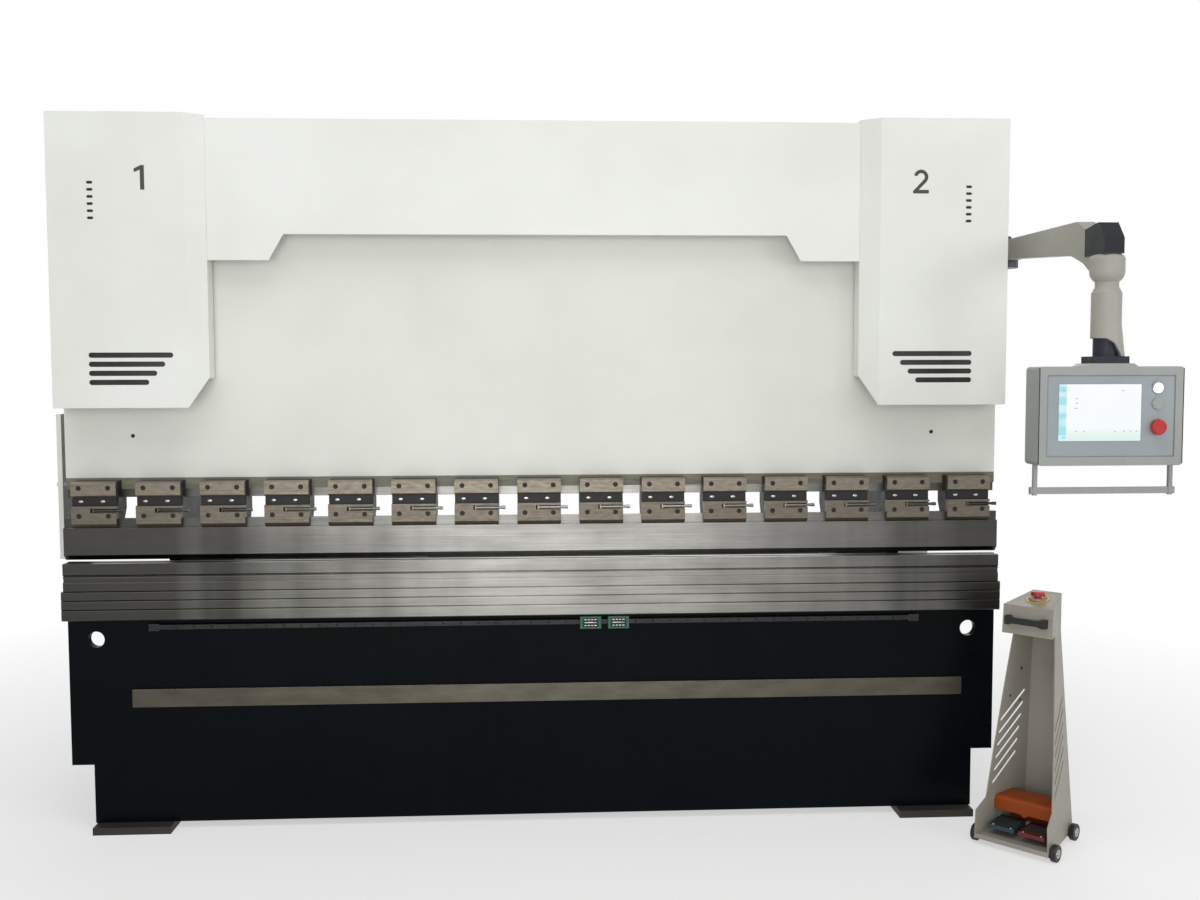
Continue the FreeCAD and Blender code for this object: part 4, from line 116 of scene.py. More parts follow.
# Pendant: the arm's cap, the box's swivel, the front plate, the screen, the buttons and the edging
CAP_REAR_Y = -1.112
CAP_BOTTOM_Z = 1.905
SWIVEL_BOTTOM_Z = 1.5818
PANEL_LOW = (1.503, 1.3065)
PANEL_HIGH = (1.887, 1.5445)
PANEL_Y = -1.2435
SCREEN_LOW = (1.537, 1.3520)
SCREEN_HIGH = (1.786, 1.5200)
SCREEN_MARKS = ((0.20, 0.74, 8), (0.20, 0.66, 8), (0.19, 0.57, 9), (0.76, 0.88, 7), (0.20, 0.16, 6),
                (0.30, 0.16, 6), (0.68, 0.16, 5), (0.79, 0.16, 5), (0.87, 0.16, 5), (0.94, 0.16, 5),
                (0.04, 0.88, 9), (0.04, 0.05, 12))       # share across, share up, length in mm
BUTTON_X = 1.836
LAMP_Z = 1.5090
KNOB_Z = 1.4600
STOP_Z = 1.3925
EDGING_X = (1.4752, 1.9118)
EDGING_Y = -1.2475
EDGING_Z = (1.284, 1.568)
HANDLE_CAP_Y = (-1.2005, -1.1895)
HANDLE_CAP_Z = (1.1895, 1.2110)
PENDANT_REAR_Y = -1.1525
PENDANT_SCREWS_X = (1.490, 1.900)
PENDANT_SCREWS_Z = (1.295, 1.557)

# Foot console: its origin on the floor and its turn, and the taper of its tower in mm
CONSOLE_PLACE = Matrix.Translation((1.517, -0.997, 0)) @ Matrix.Rotation(math.radians(-46.5), 4, "Z")
CONSOLE_TOP_TILT = (0, -0.2113, 0.9774)
CONSOLE_STOP_PLACE = (0, 172 * MM, 808.9 * MM)
TOWER_BASE_Z = 20
TOWER_HEIGHT = 683
TOWER_FRONT_HALF = (125, 103)
TOWER_REAR_HALF = (86, 48)
TOWER_DEPTH = (287, 247)
WALL_PLUGS = ((202, 562, 6), (151, 475, 4.5), (207, 453, 4.5))      # depth, height, radius in mm
CASTER_DEPTHS = (34, 253)
CASTER_FACE = 22.8
CASTER_Z = 28
PEDAL_U = 51 * MM
PEDAL_LIP_V = 42 * MM
PEDAL_TOP_Z = 64.3 * MM
PEDAL_RISE = 4 / 96
PEDAL_SCREW_PLACE = (30 * MM, 47 * MM, 64.2 * MM)
TREAD_START_V = 54 * MM
TREAD_ROWS = 9
TREAD_PITCH = 8.5 * MM
TREAD_HALF = 37 * MM

# Cabinet and hydraulics
LOCK_FROM_END = 0.17
LOUVRE_ROWS = 7
LOUVRE_PITCH = 24 * MM
LOUVRE_FROM_BOTTOM = 0.08
LOUVRE_FROM_FRONT = 0.20
LOUVRE_LENGTH = 0.16
MOTOR_Y = 0.150
MOTOR_AXIS_OVER_TANK = 56 * MM
MOTOR_FEET_UNDER_TANK_TOP = 60 * MM
MOTOR_FLANGE_X = -0.260
MOTOR_BOLT_CIRCLE = 78 * MM
MOTOR_FEET_X = (-0.195, -0.015)
MOTOR_FEET_Y = 0.062
TERMINAL_BOX_X = (-0.165, -0.055)
TERMINAL_BOX_HALF_Y = 55 * MM
TERMINAL_BOX_OVER_AXIS = (92 * MM, 140 * MM)
FILLER_X = 0.260
LEVEL_GLASS_X = 0.75
LEVEL_GLASS_Z = (0.105, 0.225)
LEVEL_BOLTS_Z = (0.09, 0.24)

# Studio floor: half its width, and the distances between which it turns white
FLOOR_HALF = 30.0
FLOOR_FADE_START = 1.7
FLOOR_FADE_END = 4.2


# Colour and nodes

def linear(hex_colour):
    """A colour written as sRGB hex, in the linear values that shaders take."""
    channels = []
    for start in (0, 2, 4):
        value = int(hex_colour[start:start + 2], 16) / 255
        channels.append(value / 12.92 if value <= 0.04045 else ((value + 0.055) / 1.055) ** 2.4)
    return (*channels, 1.0)


def add(tree, kind, values=None, links=None, **settings):
    """Adds a node, sets its settings and socket values, and links other sockets to its inputs."""
    node = tree.nodes.new(kind)
    for name, value in settings.items():
        setattr(node, name, value)
    for name, value in (values or {}).items():
        node.inputs[name].default_value = value
    for name, socket in (links or {}).items():
        tree.links.new(socket, node.inputs[name])
    return node


def surface(name, **values):
    """A new material, its node tree, its shader and the object's own coordinates."""
    material = bpy.data.materials.new(name)
    material.use_nodes = True
    tree = material.node_tree
    shader = tree.nodes["Principled BSDF"]
    for key, value in values.items():
        shader.inputs[key.replace("_", " ")].default_value = value
    place = add(tree, "ShaderNodeTexCoord").outputs["Object"]
    return material, tree, shader, place


def stretched(tree, place, scale):
    """The object's coordinates multiplied axis by axis."""
    return add(tree, "ShaderNodeMapping", {"Scale": scale}, {"Vector": place}).outputs["Vector"]


def blotches(tree, place, size, detail=3.0, roughness=0.55):
    """A soft noise whose patches are about size metres wide."""
    return add(tree, "ShaderNodeTexNoise", {"Scale": 1 / size, "Detail": detail, "Roughness": roughness},
               {"Vector": place}).outputs["Fac"]


def ramp(tree, factor, stops):
    """A colour ramp over a factor, from pairs of position and hex colour."""
    node = add(tree, "ShaderNodeValToRGB", links={"Fac": factor})
    elements = node.color_ramp.elements
    while len(elements) < len(stops):
        elements.new(0.5)
    for element, (position, hex_colour) in zip(elements, stops):
        element.position = position
        element.color = linear(hex_colour)
    return node.outputs["Color"]


def spread(tree, factor, low, high, from_low=0.0, from_high=1.0):
    """A factor moved from one range of values to another."""
    return add(tree, "ShaderNodeMapRange",
               {"From Min": from_low, "From Max": from_high, "To Min": low, "To Max": high},
               {"Value": factor}).outputs["Result"]


def times(tree, first, second):
    """A factor multiplied by another one or by a number."""
    if isinstance(second, float):
        return add(tree, "ShaderNodeMath", {1: second}, {0: first}, operation="MULTIPLY").outputs[0]
    return add(tree, "ShaderNodeMath", links={0: first, 1: second}, operation="MULTIPLY").outputs[0]


def mixed(tree, factor, first, second):
    """One colour mixed with another by a factor; each colour is a socket or a hex colour."""
    node = add(tree, "ShaderNodeMix", links={"Factor": factor}, data_type="RGBA")
    for name, value in (("A", first), ("B", second)):
        socket = [s for s in node.inputs if s.name == name and s.type == "RGBA"][0]
        if isinstance(value, str):
            socket.default_value = linear(value)
        else:
            tree.links.new(value, socket)
    return [s for s in node.outputs if s.type == "RGBA"][0]


def bumped(tree, shader, height, strength, distance):
    """Relief from a height, over whatever relief the shader already has."""
    earlier = shader.inputs["Normal"].links
    links = {"Height": height}
    if earlier:
        links["Normal"] = earlier[0].from_socket
    node = add(tree, "ShaderNodeBump", {"Strength": strength, "Distance": distance}, links)
    tree.links.new(node.outputs["Normal"], shader.inputs["Normal"])


def above(tree, place, axis, level, width=0.002):
    """A mask that turns from 0 to 1 where a coordinate passes a level."""
    parts = add(tree, "ShaderNodeSeparateXYZ", links={"Vector": place})
    return spread(tree, parts.outputs[axis], 0.0, 1.0, level - width / 2, level + width / 2)


def soft_edges(tree, shader, radius):
    """Rounds the shading of edges by a radius, and gives a mask that is 1 along them."""
    eased = add(tree, "ShaderNodeBevel", {"Radius": radius}, samples=3).outputs["Normal"]
    tree.links.new(eased, shader.inputs["Normal"])
    flat = add(tree, "ShaderNodeNewGeometry").outputs["Normal"]
    along = add(tree, "ShaderNodeVectorMath", links={0: eased, 1: flat}, operation="DOT_PRODUCT")
    return spread(tree, along.outputs["Value"], 1.0, 0.0, 0.86, 0.99)


# Finishes

def powder_coat(name, light, dark, worn, roughness=0.42, peel=3.0 * MM, relief=0.12, wear=0.35, gloss=0.5):
    """Powder coat or enamel, sprayed and baked: an even satin skin with faint orange peel, smudges
    and rubbed edges. Ink and black oxide take the same skin, with less relief or less gloss."""
    material, tree, shader, place = surface(name, IOR=1.5, Specular_IOR_Level=gloss)
    edge = soft_edges(tree, shader, 1.5 * MM)
    wide = blotches(tree, place, 0.6, 4.0)
    colour = ramp(tree, wide, [(0.36, dark), (0.62, light)])
    smudge = blotches(tree, place, 0.05, 6.0, 0.7)
    rubbed = times(tree, edge, spread(tree, smudge, 0.0, wear, 0.35, 0.7))
    tree.links.new(mixed(tree, rubbed, colour, worn), shader.inputs["Base Color"])
    satin = spread(tree, smudge, roughness - 0.07, roughness + 0.09, 0.3, 0.7)
    tree.links.new(satin, shader.inputs["Roughness"])
    # Orange peel is 1 to 2 mm across and is drawn a little coarser so that it shows.
    bumped(tree, shader, blotches(tree, place, peel, 1.0), relief, 0.4 * MM)
    return material


def ground_steel(name, light, dark, roughness=0.3, patch=0.25, relief=0.05,
                 painted_reflection=0.0, shaded_end_colour="3c3b37", edge_light=0.4):
    """Steel ground along its length: fine parallel lines that smear reflections, bright broken edges,
    and, where asked, a painted reflection: the ends painted darker, as painted shade, than a bright middle."""
    material, tree, shader, place = surface(name, Metallic=1.0)
    edge = soft_edges(tree, shader, 0.8 * MM)
    # The wheel's lines are about 0.1 mm apart and are drawn 2 mm apart so that they show.
    lines = blotches(tree, stretched(tree, place, (1.0, 160.0, 160.0)), 0.35, 6.0, 0.75)
    patches = blotches(tree, stretched(tree, place, (1.0, 3.0, 3.0)), patch, 4.0)
    both = add(tree, "ShaderNodeMath", {1: 0.45}, {0: patches, 2: times(tree, lines, 0.55)},
               operation="MULTIPLY_ADD").outputs[0]
    colour = ramp(tree, both, [(0.36, dark), (0.64, light)])
    # Painted reflection and shade: the steel's ends are painted darker than its middle, whose bright part
    # is centred a little right of the machine's middle.
    if painted_reflection:
        along = add(tree, "ShaderNodeSeparateXYZ", links={"Vector": place}).outputs["X"]
        shifted = add(tree, "ShaderNodeMath", {1: -REFLECTION_MIDDLE_X}, {0: along}, operation="ADD").outputs[0]
        outward = add(tree, "ShaderNodeMath", links={0: shifted}, operation="ABSOLUTE").outputs[0]
        strips = blotches(tree, stretched(tree, place, (1.0, 0.02, 0.02)), 0.22, 3.0, 0.6)
        reach = add(tree, "ShaderNodeMath", {1: 0.9}, {0: strips, 2: outward},
                    operation="MULTIPLY_ADD").outputs[0]
        colour = mixed(tree, spread(tree, reach, 0.0, painted_reflection, 0.75, 1.75), colour, shaded_end_colour)
    colour = mixed(tree, spread(tree, edge, 0.0, edge_light), colour, "d6d4cf")
    tree.links.new(colour, shader.inputs["Base Color"])
    polish = spread(tree, both, roughness + 0.1, roughness - 0.06, 0.35, 0.65)
    tree.links.new(polish, shader.inputs["Roughness"])
    bumped(tree, shader, lines, relief, 0.1 * MM)
    return material


def moulded_plastic(name, colour, worn="8a8a88", roughness=0.45, grain=0.8 * MM, relief=0.15):
    """Injection-moulded plastic: one colour right through, with a fine spark-eroded grain
    and pale rubbed edges. Rubber takes it too, duller and with a coarser, deeper grain."""
    material, tree, shader, place = surface(name, IOR=1.46)
    edge = soft_edges(tree, shader, 0.8 * MM)
    wear = blotches(tree, place, 0.02, 5.0, 0.65)
    cloud = mixed(tree, spread(tree, wear, 0.0, 0.2, 0.45, 0.8), colour, worn)
    tree.links.new(mixed(tree, spread(tree, edge, 0.0, 0.3), cloud, worn), shader.inputs["Base Color"])
    tree.links.new(spread(tree, wear, roughness - 0.08, roughness + 0.1), shader.inputs["Roughness"])
    # Such a grain is about 0.1 mm across and is drawn several times coarser so that it shows.
    bumped(tree, shader, blotches(tree, place, grain, 1.0), relief, 0.1 * MM)
    return material


def base_colour(material):
    """The node tree, the shader, the object's coordinates and the socket that gives the base colour."""
    tree = material.node_tree
    shader = tree.nodes["Principled BSDF"]
    place = tree.nodes["Texture Coordinate"].outputs["Object"]
    return tree, shader, place, shader.inputs["Base Color"].links[0].from_socket


def ram_paint():
    """The ram's powder coat, masked off along its lower edge, where the steel is bare and oiled."""
    material = powder_coat("ram_powder_coat", "e3e4db", "dbdcd3", "b9b8ae", 0.4)
    tree, shader, place, colour = base_colour(material)
    painted = above(tree, place, "Z", RAM_PAINT_Z)
    film = blotches(tree, stretched(tree, place, (1, 6, 6)), 0.08, 5.0)
    darker_lower_part = ramp(tree, film, [(0.35, "5f5d4c"), (0.65, "77745f")])
    tree.links.new(mixed(tree, painted, darker_lower_part, colour), shader.inputs["Base Color"])
    return material


def arm_paint():
    """The pendant arm's pale enamel, with the navy cap moulded over its elbow."""
    material = powder_coat("arm_enamel", "aba99f", "9d9b90", "77756e", 0.4, gloss=0.25)
    tree, shader, place, colour = base_colour(material)
    depth = add(tree, "ShaderNodeSeparateXYZ", links={"Vector": place}).outputs["Y"]
    forward = spread(tree, depth, 1.0, 0.0, CAP_REAR_Y - 1 * MM, CAP_REAR_Y + 1 * MM)
    cap = times(tree, above(tree, place, "Z", CAP_BOTTOM_Z), forward)
    tree.links.new(mixed(tree, cap, colour, "15191f"), shader.inputs["Base Color"])
    return material


def box_paint():
    """The pendant box's grey enamel, with the navy swivel joint on its top."""
    material = powder_coat("pendant_enamel", "a3a6a3", "969995", "727370", 0.45, gloss=0.25)
    tree, shader, place, colour = base_colour(material)
    swivel = above(tree, place, "Z", SWIVEL_BOTTOM_Z)
    tree.links.new(mixed(tree, swivel, colour, "262a33"), shader.inputs["Base Color"])
    return material


def clamp_face_steel():
    """The clamps' milled face plates, whose lower row is darker than the upper one."""
    material = ground_steel("milled_clamp_steel", "847c6f", "676056", 0.38, 0.03, 0.1, edge_light=0.12)
    tree, shader, place, colour = base_colour(material)
    darker_lower_part = spread(tree, above(tree, place, "Z", INSERT_HEAD_Z), 0.3, 0.0)
    tree.links.new(mixed(tree, darker_lower_part, colour, "322e28"), shader.inputs["Base Color"])
    return material


def lit_screen():
    """A lit display behind glass: a near-white page, a pale cyan column at its left
    and a faint green foot."""
    material, tree, shader, place = surface("display_glass", Roughness=0.08, IOR=1.5)
    page = ramp(tree, blotches(tree, place, 0.12, 2.0), [(0.3, "f3f8f8"), (0.7, "fbfdfd")])
    foot = mixed(tree, above(tree, place, "Z", SCREEN_LOW[1] + 26 * MM, 30 * MM), "dff3ea", page)
    column = above(tree, place, "X", SCREEN_LOW[0] + 23 * MM)
    blocks = blotches(tree, stretched(tree, place, (0.1, 0.1, 1.0)), 0.03, 0.0)
    cyan = ramp(tree, blocks, [(0.42, "9fe3ea"), (0.55, "d3f3f4")])
    picture = mixed(tree, column, cyan, foot)
    glass = mixed(tree, spread(tree, page, 0.0, 0.1), "20242a", "2a2e34")
    tree.links.new(glass, shader.inputs["Base Color"])
    tree.links.new(picture, shader.inputs["Emission Color"])
    shader.inputs["Emission Strength"].default_value = 0.95
    return material


def lit_lens():
    """A lit lamp lens: clear ribbed plastic over a white light."""
    material, tree, shader, place = surface("lamp_lens", Roughness=0.2, IOR=1.49)
    glow = ramp(tree, blotches(tree, place, 2.0 * MM, 2.0), [(0.3, "f4f6f8"), (0.7, "ffffff")])
    tree.links.new(glow, shader.inputs["Base Color"])
    tree.links.new(glow, shader.inputs["Emission Color"])
    shader.inputs["Emission Strength"].default_value = 0.9
    return material


off_white = powder_coat("white_powder_coat", "ebece6", "e3e4dc", "bcbcb3", 0.38)
navy = powder_coat("navy_black_enamel", "070c10", "04080b", "2a2f32", 0.3, 4.0 * MM, gloss=0.06)
black_oxide = powder_coat("black_oxide_steel", "17161a", "0c0b0c", "3f3c38", 0.45, gloss=0.35)
bright_steel = ground_steel("bright_screw_steel", "bdbcb8", "a1a09a", 0.24, 0.02)
black_moulding = moulded_plastic("black_moulded_plastic", "121211", "55544f")
pedal_rubber = moulded_plastic("pedal_tread_rubber", "1b1b1a", "4a4945", 0.65, 1.2 * MM, 0.3)
ink = powder_coat("grey_ink", "3d3d3c", "333332", "6a6a68", 0.5, relief=0.02)
clamp_steel = clamp_face_steel()
# The tool steel's darker ends are painted shade and its bright middle a painted reflection.
tool_steel = ground_steel("hardened_tool_steel", "a3a29d", "7b7a75", 0.32, 0.3, painted_reflection=0.88, shaded_end_colour="292824")


def build_finishes():
    """One finish for each material slot of the frame."""
    return {
        "off_white_paint": off_white,
        "dark_paint": navy,
        "foot_steel": powder_coat("primed_steel", "2a251f", "191612", "6a5c4c", 0.6, 4.0 * MM, 0.3),
        # The ground steel's darker ends are painted shade and its bright middle a painted reflection.
        "ground_steel": ground_steel("surface_ground_steel", "9b9a96", "7b7a76", 0.3,
                                     painted_reflection=0.85, shaded_end_colour="2c2b27"),
        "rail_steel": ground_steel("black_rail_steel", "3c3e3c", "2b2d2c", 0.35, 0.1),
        "tool_steel": tool_steel,
        "clamp_steel": clamp_steel,
        "black_steel": black_oxide,
        "cylinder_steel": powder_coat("cylinder_enamel", "7c8083", "6a6e71", "a5a5a2", 0.35),
        "chrome": ground_steel("hard_chrome", "dddddb", "cdcdcb", 0.12, 0.05, 0.01),
        "aluminium": ground_steel("satin_aluminium", "c8c9c9", "a9aaab", 0.38),
        "motor_paint": powder_coat("motor_enamel", "4d5a68", "3f4b57", "8b9199", 0.45, 4.0 * MM, 0.25),
        "cabinet_paint": powder_coat("cabinet_powder_coat", "dcddd8", "d1d2cc", "a9a9a2", 0.45),
        "cap_paint": powder_coat("navy_cap_enamel", "343a44", "282d36", "6b6f76", 0.4),
        "pendant_paint": box_paint(),
        "console_paint": powder_coat("warm_grey_powder_coat", "9f9a8f", "908b81", "77736a", 0.45,
                                     gloss=0.35),
        "black_plastic": black_moulding,
        "carriage_plastic": moulded_plastic("green_moulded_plastic", "1c5a44", "6d9c86", 0.4),
        "orange_paint": powder_coat("orange_enamel", "94400d", "7d350a", "b07444", 0.38, gloss=0.25),
        "green_paint": powder_coat("teal_enamel", "143339", "0e262b", "3f5a5c", 0.42),
        "red_paint": powder_coat("red_enamel", "5e0a07", "490604", "84443c", 0.42),
        "red_plastic": moulded_plastic("red_moulded_plastic", "b3201e", "cf6a62", 0.28, relief=0.04),
    }


def dress_nodes():
    """Gives every piece of the frame the finish of its slot, and four pieces a finish of their own."""
    finishes = build_finishes()
    own = {
        "ram_plate": ram_paint(),
        "pendant_arm": arm_paint(),
        "clamp_bodies": black_oxide,
        # The flat bar's darker ends are painted shade and its bright middle a painted reflection.
        "front_bar": ground_steel("rolled_flat_bar", "6b675d", "4c4940", 0.36, 0.12, 0.12,
                                  painted_reflection=0.45, shaded_end_colour="3f3b33"),
    }
    slot_of = {part["node"]: part["material_slot"] for part in frame["record"]["subparts"]}
    for name, piece in frame["nodes"].items():
        piece.data.materials.clear()
        piece.data.materials.append(own.get(name) or finishes[slot_of[name]])


# Shaping

def spin(shape, place, toward, rings, sides=24):
    """Adds a turned form: rings of radius, height and, where the ring has flats, their number."""
    turn = Vector(toward).to_track_quat("Z", "Y").to_matrix()
    loops = []
    for radius, height, *flats in rings:
        loop = []
        for index in range(sides):
            angle = math.tau * index / sides
            reach = radius
            if flats:
                step = math.tau / flats[0]
                reach = radius * math.cos(step / 2) / math.cos(angle % step - step / 2)
            spot = turn @ Vector((reach * math.cos(angle), reach * math.sin(angle), height))
            loop.append(shape.verts.new(Vector(place) + spot))
        loops.append(loop)
    for lower, upper in zip(loops, loops[1:]):
        for index in range(sides):
            after = (index + 1) % sides
            shape.faces.new((lower[index], lower[after], upper[after], upper[index]))
    shape.faces.new(loops[-1])
    shape.faces.new(list(reversed(loops[0])))


def push(shape, outline, step):
    """Adds an outline of points pushed along a step."""
    near = [shape.verts.new(Vector(point)) for point in outline]
    far = [shape.verts.new(Vector(point) + Vector(step)) for point in outline]
    count = len(outline)
    shape.faces.new(near)
    shape.faces.new(list(reversed(far)))
    for index in range(count):
        after = (index + 1) % count
        shape.faces.new((near[after], near[index], far[index], far[after]))


def block(shape, low, high, edge):
    """Adds a block between two corners, its edges rounded off."""
    middle = [(a + b) / 2 for a, b in zip(low, high)]
    size = [b - a for a, b in zip(low, high)]
    made = bmesh.ops.create_cube(shape, size=1.0,
                                 matrix=Matrix.Translation(middle) @ Matrix.Diagonal((*size, 1)))
    edges = list({line for vert in made["verts"] for line in vert.link_edges})
    bmesh.ops.bevel(shape, geom=edges, offset=edge, segments=2, profile=0.5, affect="EDGES")


def rounded_outline(low, high, radius, y):
    """The corners of an upright rectangle at a depth y, rounded by a radius."""
    steps = 6
    points = []
    corners = ((high[0], high[1], 0), (low[0], high[1], 1), (low[0], low[1], 2), (high[0], low[1], 3))
    for x, z, quarter in corners:
        centre_x = x - math.copysign(radius, x - (low[0] + high[0]) / 2)
        centre_z = z - math.copysign(radius, z - (low[1] + high[1]) / 2)
        for index in range(steps + 1):
            angle = math.pi / 2 * (quarter + index / steps)
            points.append((centre_x + radius * math.cos(angle), y, centre_z + radius * math.sin(angle)))
    return points


def fitted(name, body, finish, shape, place=None):
    """Makes a shape a piece of the scene, on its body and finish."""
    if place:
        bmesh.ops.transform(shape, matrix=place, verts=shape.verts)
    bmesh.ops.recalc_face_normals(shape, faces=shape.faces)
    mesh = bpy.data.meshes.new(name)
    shape.to_mesh(mesh)
    shape.free()
    mesh.shade_smooth()
    mesh.set_sharp_from_angle(angle=math.radians(35))
    mesh.materials.append(finish)
    piece = bpy.data.objects.new(name, mesh)
    bpy.context.scene.collection.objects.link(piece)
    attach(piece, body)


def socket_screw(shape, place, toward, radius, proud):
    """Adds a cap screw's head with its hexagon socket."""
    chamfer = radius * 0.12
    spin(shape, place, toward, [
        (radius, -SUNK),
        (radius, proud - chamfer),
        (radius - chamfer, proud),
        (radius * 0.56, proud, 6),
        (radius * 0.54, proud * 0.15, 6),
    ])


def hexagon_bolt(shape, place, toward, radius, height):
    """Adds a hexagon head on its washer, with the domed chamfer that such heads have."""
    washer = height * 0.22
    spin(shape, place, toward, [
        (radius * 1.35, -SUNK),
        (radius * 1.35, washer),
        (radius, washer, 6),
        (radius, height * 0.9, 6),
        (radius * 0.84, height),
    ])


def button_screw(shape, place, toward, radius):
    """Adds a low domed screw head with a small socket."""
    spin(shape, place, toward, [
        (radius, -SUNK),
        (radius, radius * 0.12),
        (radius * 0.86, radius * 0.34),
        (radius * 0.6, radius * 0.46),
        (radius * 0.38, radius * 0.46, 6),
        (radius * 0.36, radius * 0.1, 6),
    ], 18)


# Ram and clamps

def clamp_centres():
    """The places of the clamps along X."""
    return [(index - (CLAMP_COUNT - 1) / 2) * CLAMP_PITCH for index in range(CLAMP_COUNT)]


def build_clamp_screws():
    """Four socket screws on the face plates of every clamp."""
    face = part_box("clamp_plates")[0][1]
    shape = bmesh.new()
    for centre in clamp_centres():
        for height in CLAMP_SCREW_HEIGHTS:
            for side in (-1, 1):
                place = (centre + side * CLAMP_SCREW_X, face, height)
                socket_screw(shape, place, FRONT, CLAMP_SCREW_R, 0.9 * MM)
    fitted("clamp_face_screws", "ram", black_oxide, shape)


def build_insert_heads():
    """Two bright oval heads on the dark insert of every clamp."""
    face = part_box("clamp_inserts")[0][1]
    shape = bmesh.new()
    for centre in clamp_centres():
        for offset in INSERT_HEAD_PLACES:
            x = centre + offset
            angles = (math.tau * k / 20 for k in range(20))
            outline = [(x + INSERT_HEAD_HALF_X * math.cos(a), face + SUNK,
                        INSERT_HEAD_Z + INSERT_HEAD_HALF_Z * math.sin(a)) for a in angles]
            push(shape, outline, (0, -1.4 * MM, 0))
    edges = [line for line in shape.edges if all(vert.co.y < face - 1.0 * MM for vert in line.verts)]
    bmesh.ops.bevel(shape, geom=edges, offset=0.8 * MM, segments=2, profile=0.5, affect="EDGES")
    fitted("clamp_insert_heads", "ram", bright_steel, shape)


def build_ram_screws():
    """The two small screws low on the ram's face."""
    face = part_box("ram_plate")[0][1]
    shape = bmesh.new()
    for x in (-RAM_SCREW_X, RAM_SCREW_X):
        button_screw(shape, (x, face, RAM_SCREW_Z), FRONT, 6.5 * MM)
    fitted("ram_face_screws", "ram", black_oxide, shape)


def build_punch_nose():
    """The punch's hardened front and nose, which reach down to just above the die."""
    low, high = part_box("punch")
    left = low[0]
    face = low[1]
    tip = low[2] - PUNCH_NOSE_DROP
    line = face + PUNCH_NOSE_DEPTH
    back = line + PUNCH_WEB_DEPTH
    outline = [
        (left, face - 0.4 * MM, PUNCH_FRONT_TOP),
        (left, face - 0.4 * MM, tip + PUNCH_NOSE_DEPTH),
        (left, line, tip),
        (left, back, tip + PUNCH_BACK_RISE),
        (left, back, PUNCH_WEB_BOTTOM),
        (left, line, PUNCH_WEB_TOP),
        (left, face + 4 * MM, PUNCH_FRONT_TOP),
    ]
    shape = bmesh.new()
    push(shape, outline, (high[0] - left, 0, 0))
    fitted("punch_nose", "ram", frame["nodes"]["punch"].data.materials[0], shape)


# Bed, rail and feet

def build_rail_screws():
    """The row of screws along the rail."""
    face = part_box("front_rail")[0][1] + 2 * MM
    shape = bmesh.new()
    count = int(2 * RAIL_HALF / RAIL_SCREW_PITCH) + 1
    start = -(count - 1) * RAIL_SCREW_PITCH / 2
    for index in range(count):
        place = (start + index * RAIL_SCREW_PITCH, face, RAIL_Z)
        socket_screw(shape, place, FRONT, 4.2 * MM, 2.4 * MM)
    fitted("rail_screws", "machine", black_oxide, shape)


def build_carriage_trim(body):
    """A rail carriage's black steel block with its raised ball tracks, between green end seals."""
    low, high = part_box(body)
    centre = (low[0] + high[0]) / 2
    face = low[1]
    half = CARRIAGE_HALF - CARRIAGE_SEAL
    shape = bmesh.new()
    block(shape, (centre - half, face - 0.2 * MM, low[2] + 5 * MM),
          (centre + half, face + 3 * MM, high[2] - 5 * MM), 0.8 * MM)
    fitted(body + "_block", body, black_oxide, shape)
    tracks = bmesh.new()
    for row, dashes in ((-1, 4), (0, 1), (1, 4)):
        middle = (low[2] + high[2]) / 2 + row * TRACK_PITCH
        length = 2 * (half - 4 * MM) / dashes
        for dash in range(dashes):
            left = centre - half + 4 * MM + dash * length
            block(tracks, (left + 1.5 * MM, face - 0.6 * MM, middle - TRACK_HALF),
                  (left + length - 1.5 * MM, face + 1 * MM, middle + TRACK_HALF), 0.3 * MM)
    fitted(body + "_tracks", body, bright_steel, tracks)


def build_anchors():
    """A stud, a nut and a washer in each floor plate."""
    shape = bmesh.new()
    for x in (-ANCHOR_X, ANCHOR_X):
        for y in (-ANCHOR_Y, ANCHOR_Y):
            hexagon_bolt(shape, (x, y, FLOOR_PLATE_TOP), UP, 20 * MM, 22 * MM)
            spin(shape, (x, y, FLOOR_PLATE_TOP + 21 * MM), UP,
                 [(12 * MM, 0), (12 * MM, 14 * MM), (10.5 * MM, 16 * MM)])
    fitted("anchor_studs", "machine", black_oxide, shape)


# Covers

ONE = ((0.00, 0.0), (0.17, 0.0), (0.17, 1.0), (0.05, 1.0), (-0.24, 0.86), (-0.24, 0.71), (0.00, 0.81))


def digit_two():
    """The outline of a 2: a bow, a slanting stroke and a foot, all of one width."""
    width = 0.15
    radius = 0.31
    rise = 0.69
    bow = [(math.cos(a), math.sin(a)) for a in (math.radians(168 - 17.5 * k) for k in range(13))]
    outer = [(radius * c, rise + radius * s) for c, s in bow]
    inner = [((radius - width) * c, rise + (radius - width) * s) for c, s in bow]
    foot = [(-0.10, width), (0.34, width), (0.34, 0.0), (-0.34, 0.0), (-0.34, 0.10)]
    return outer + foot + list(reversed(inner))


def build_digit(name, cover, outline, centre_x):
    """A plain number standing a hair proud of a cover."""
    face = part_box(cover)[0][1] + 0.1 * MM
    shape = bmesh.new()
    points = [(centre_x + x * NUMBER_HEIGHT, face, NUMBER_Z + z * NUMBER_HEIGHT) for x, z in outline]
    push(shape, points, (0, -0.5 * MM, 0))
    shape.normal_update()
    bmesh.ops.triangulate(shape, faces=[side for side in shape.faces if len(side.verts) > 4])
    fitted(name, "machine", ink, shape)


def build_slot_shade_sheets():
    """A black sheet behind each group of the covers' slots: painted shade that keeps the slots dark."""
    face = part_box("left_cover")[0][1]
    shape = bmesh.new()
    for side in (-1, 1):
        for inner, outer, bottom, top in SLOT_GROUPS:
            left = min(side * inner, side * outer)
            right = max(side * inner, side * outer)
            block(shape, (left, face + 3.5 * MM, bottom), (right, face + 6 * MM, top), 0.8 * MM)
    fitted("slot_shade_sheets", "machine", black_moulding, shape)


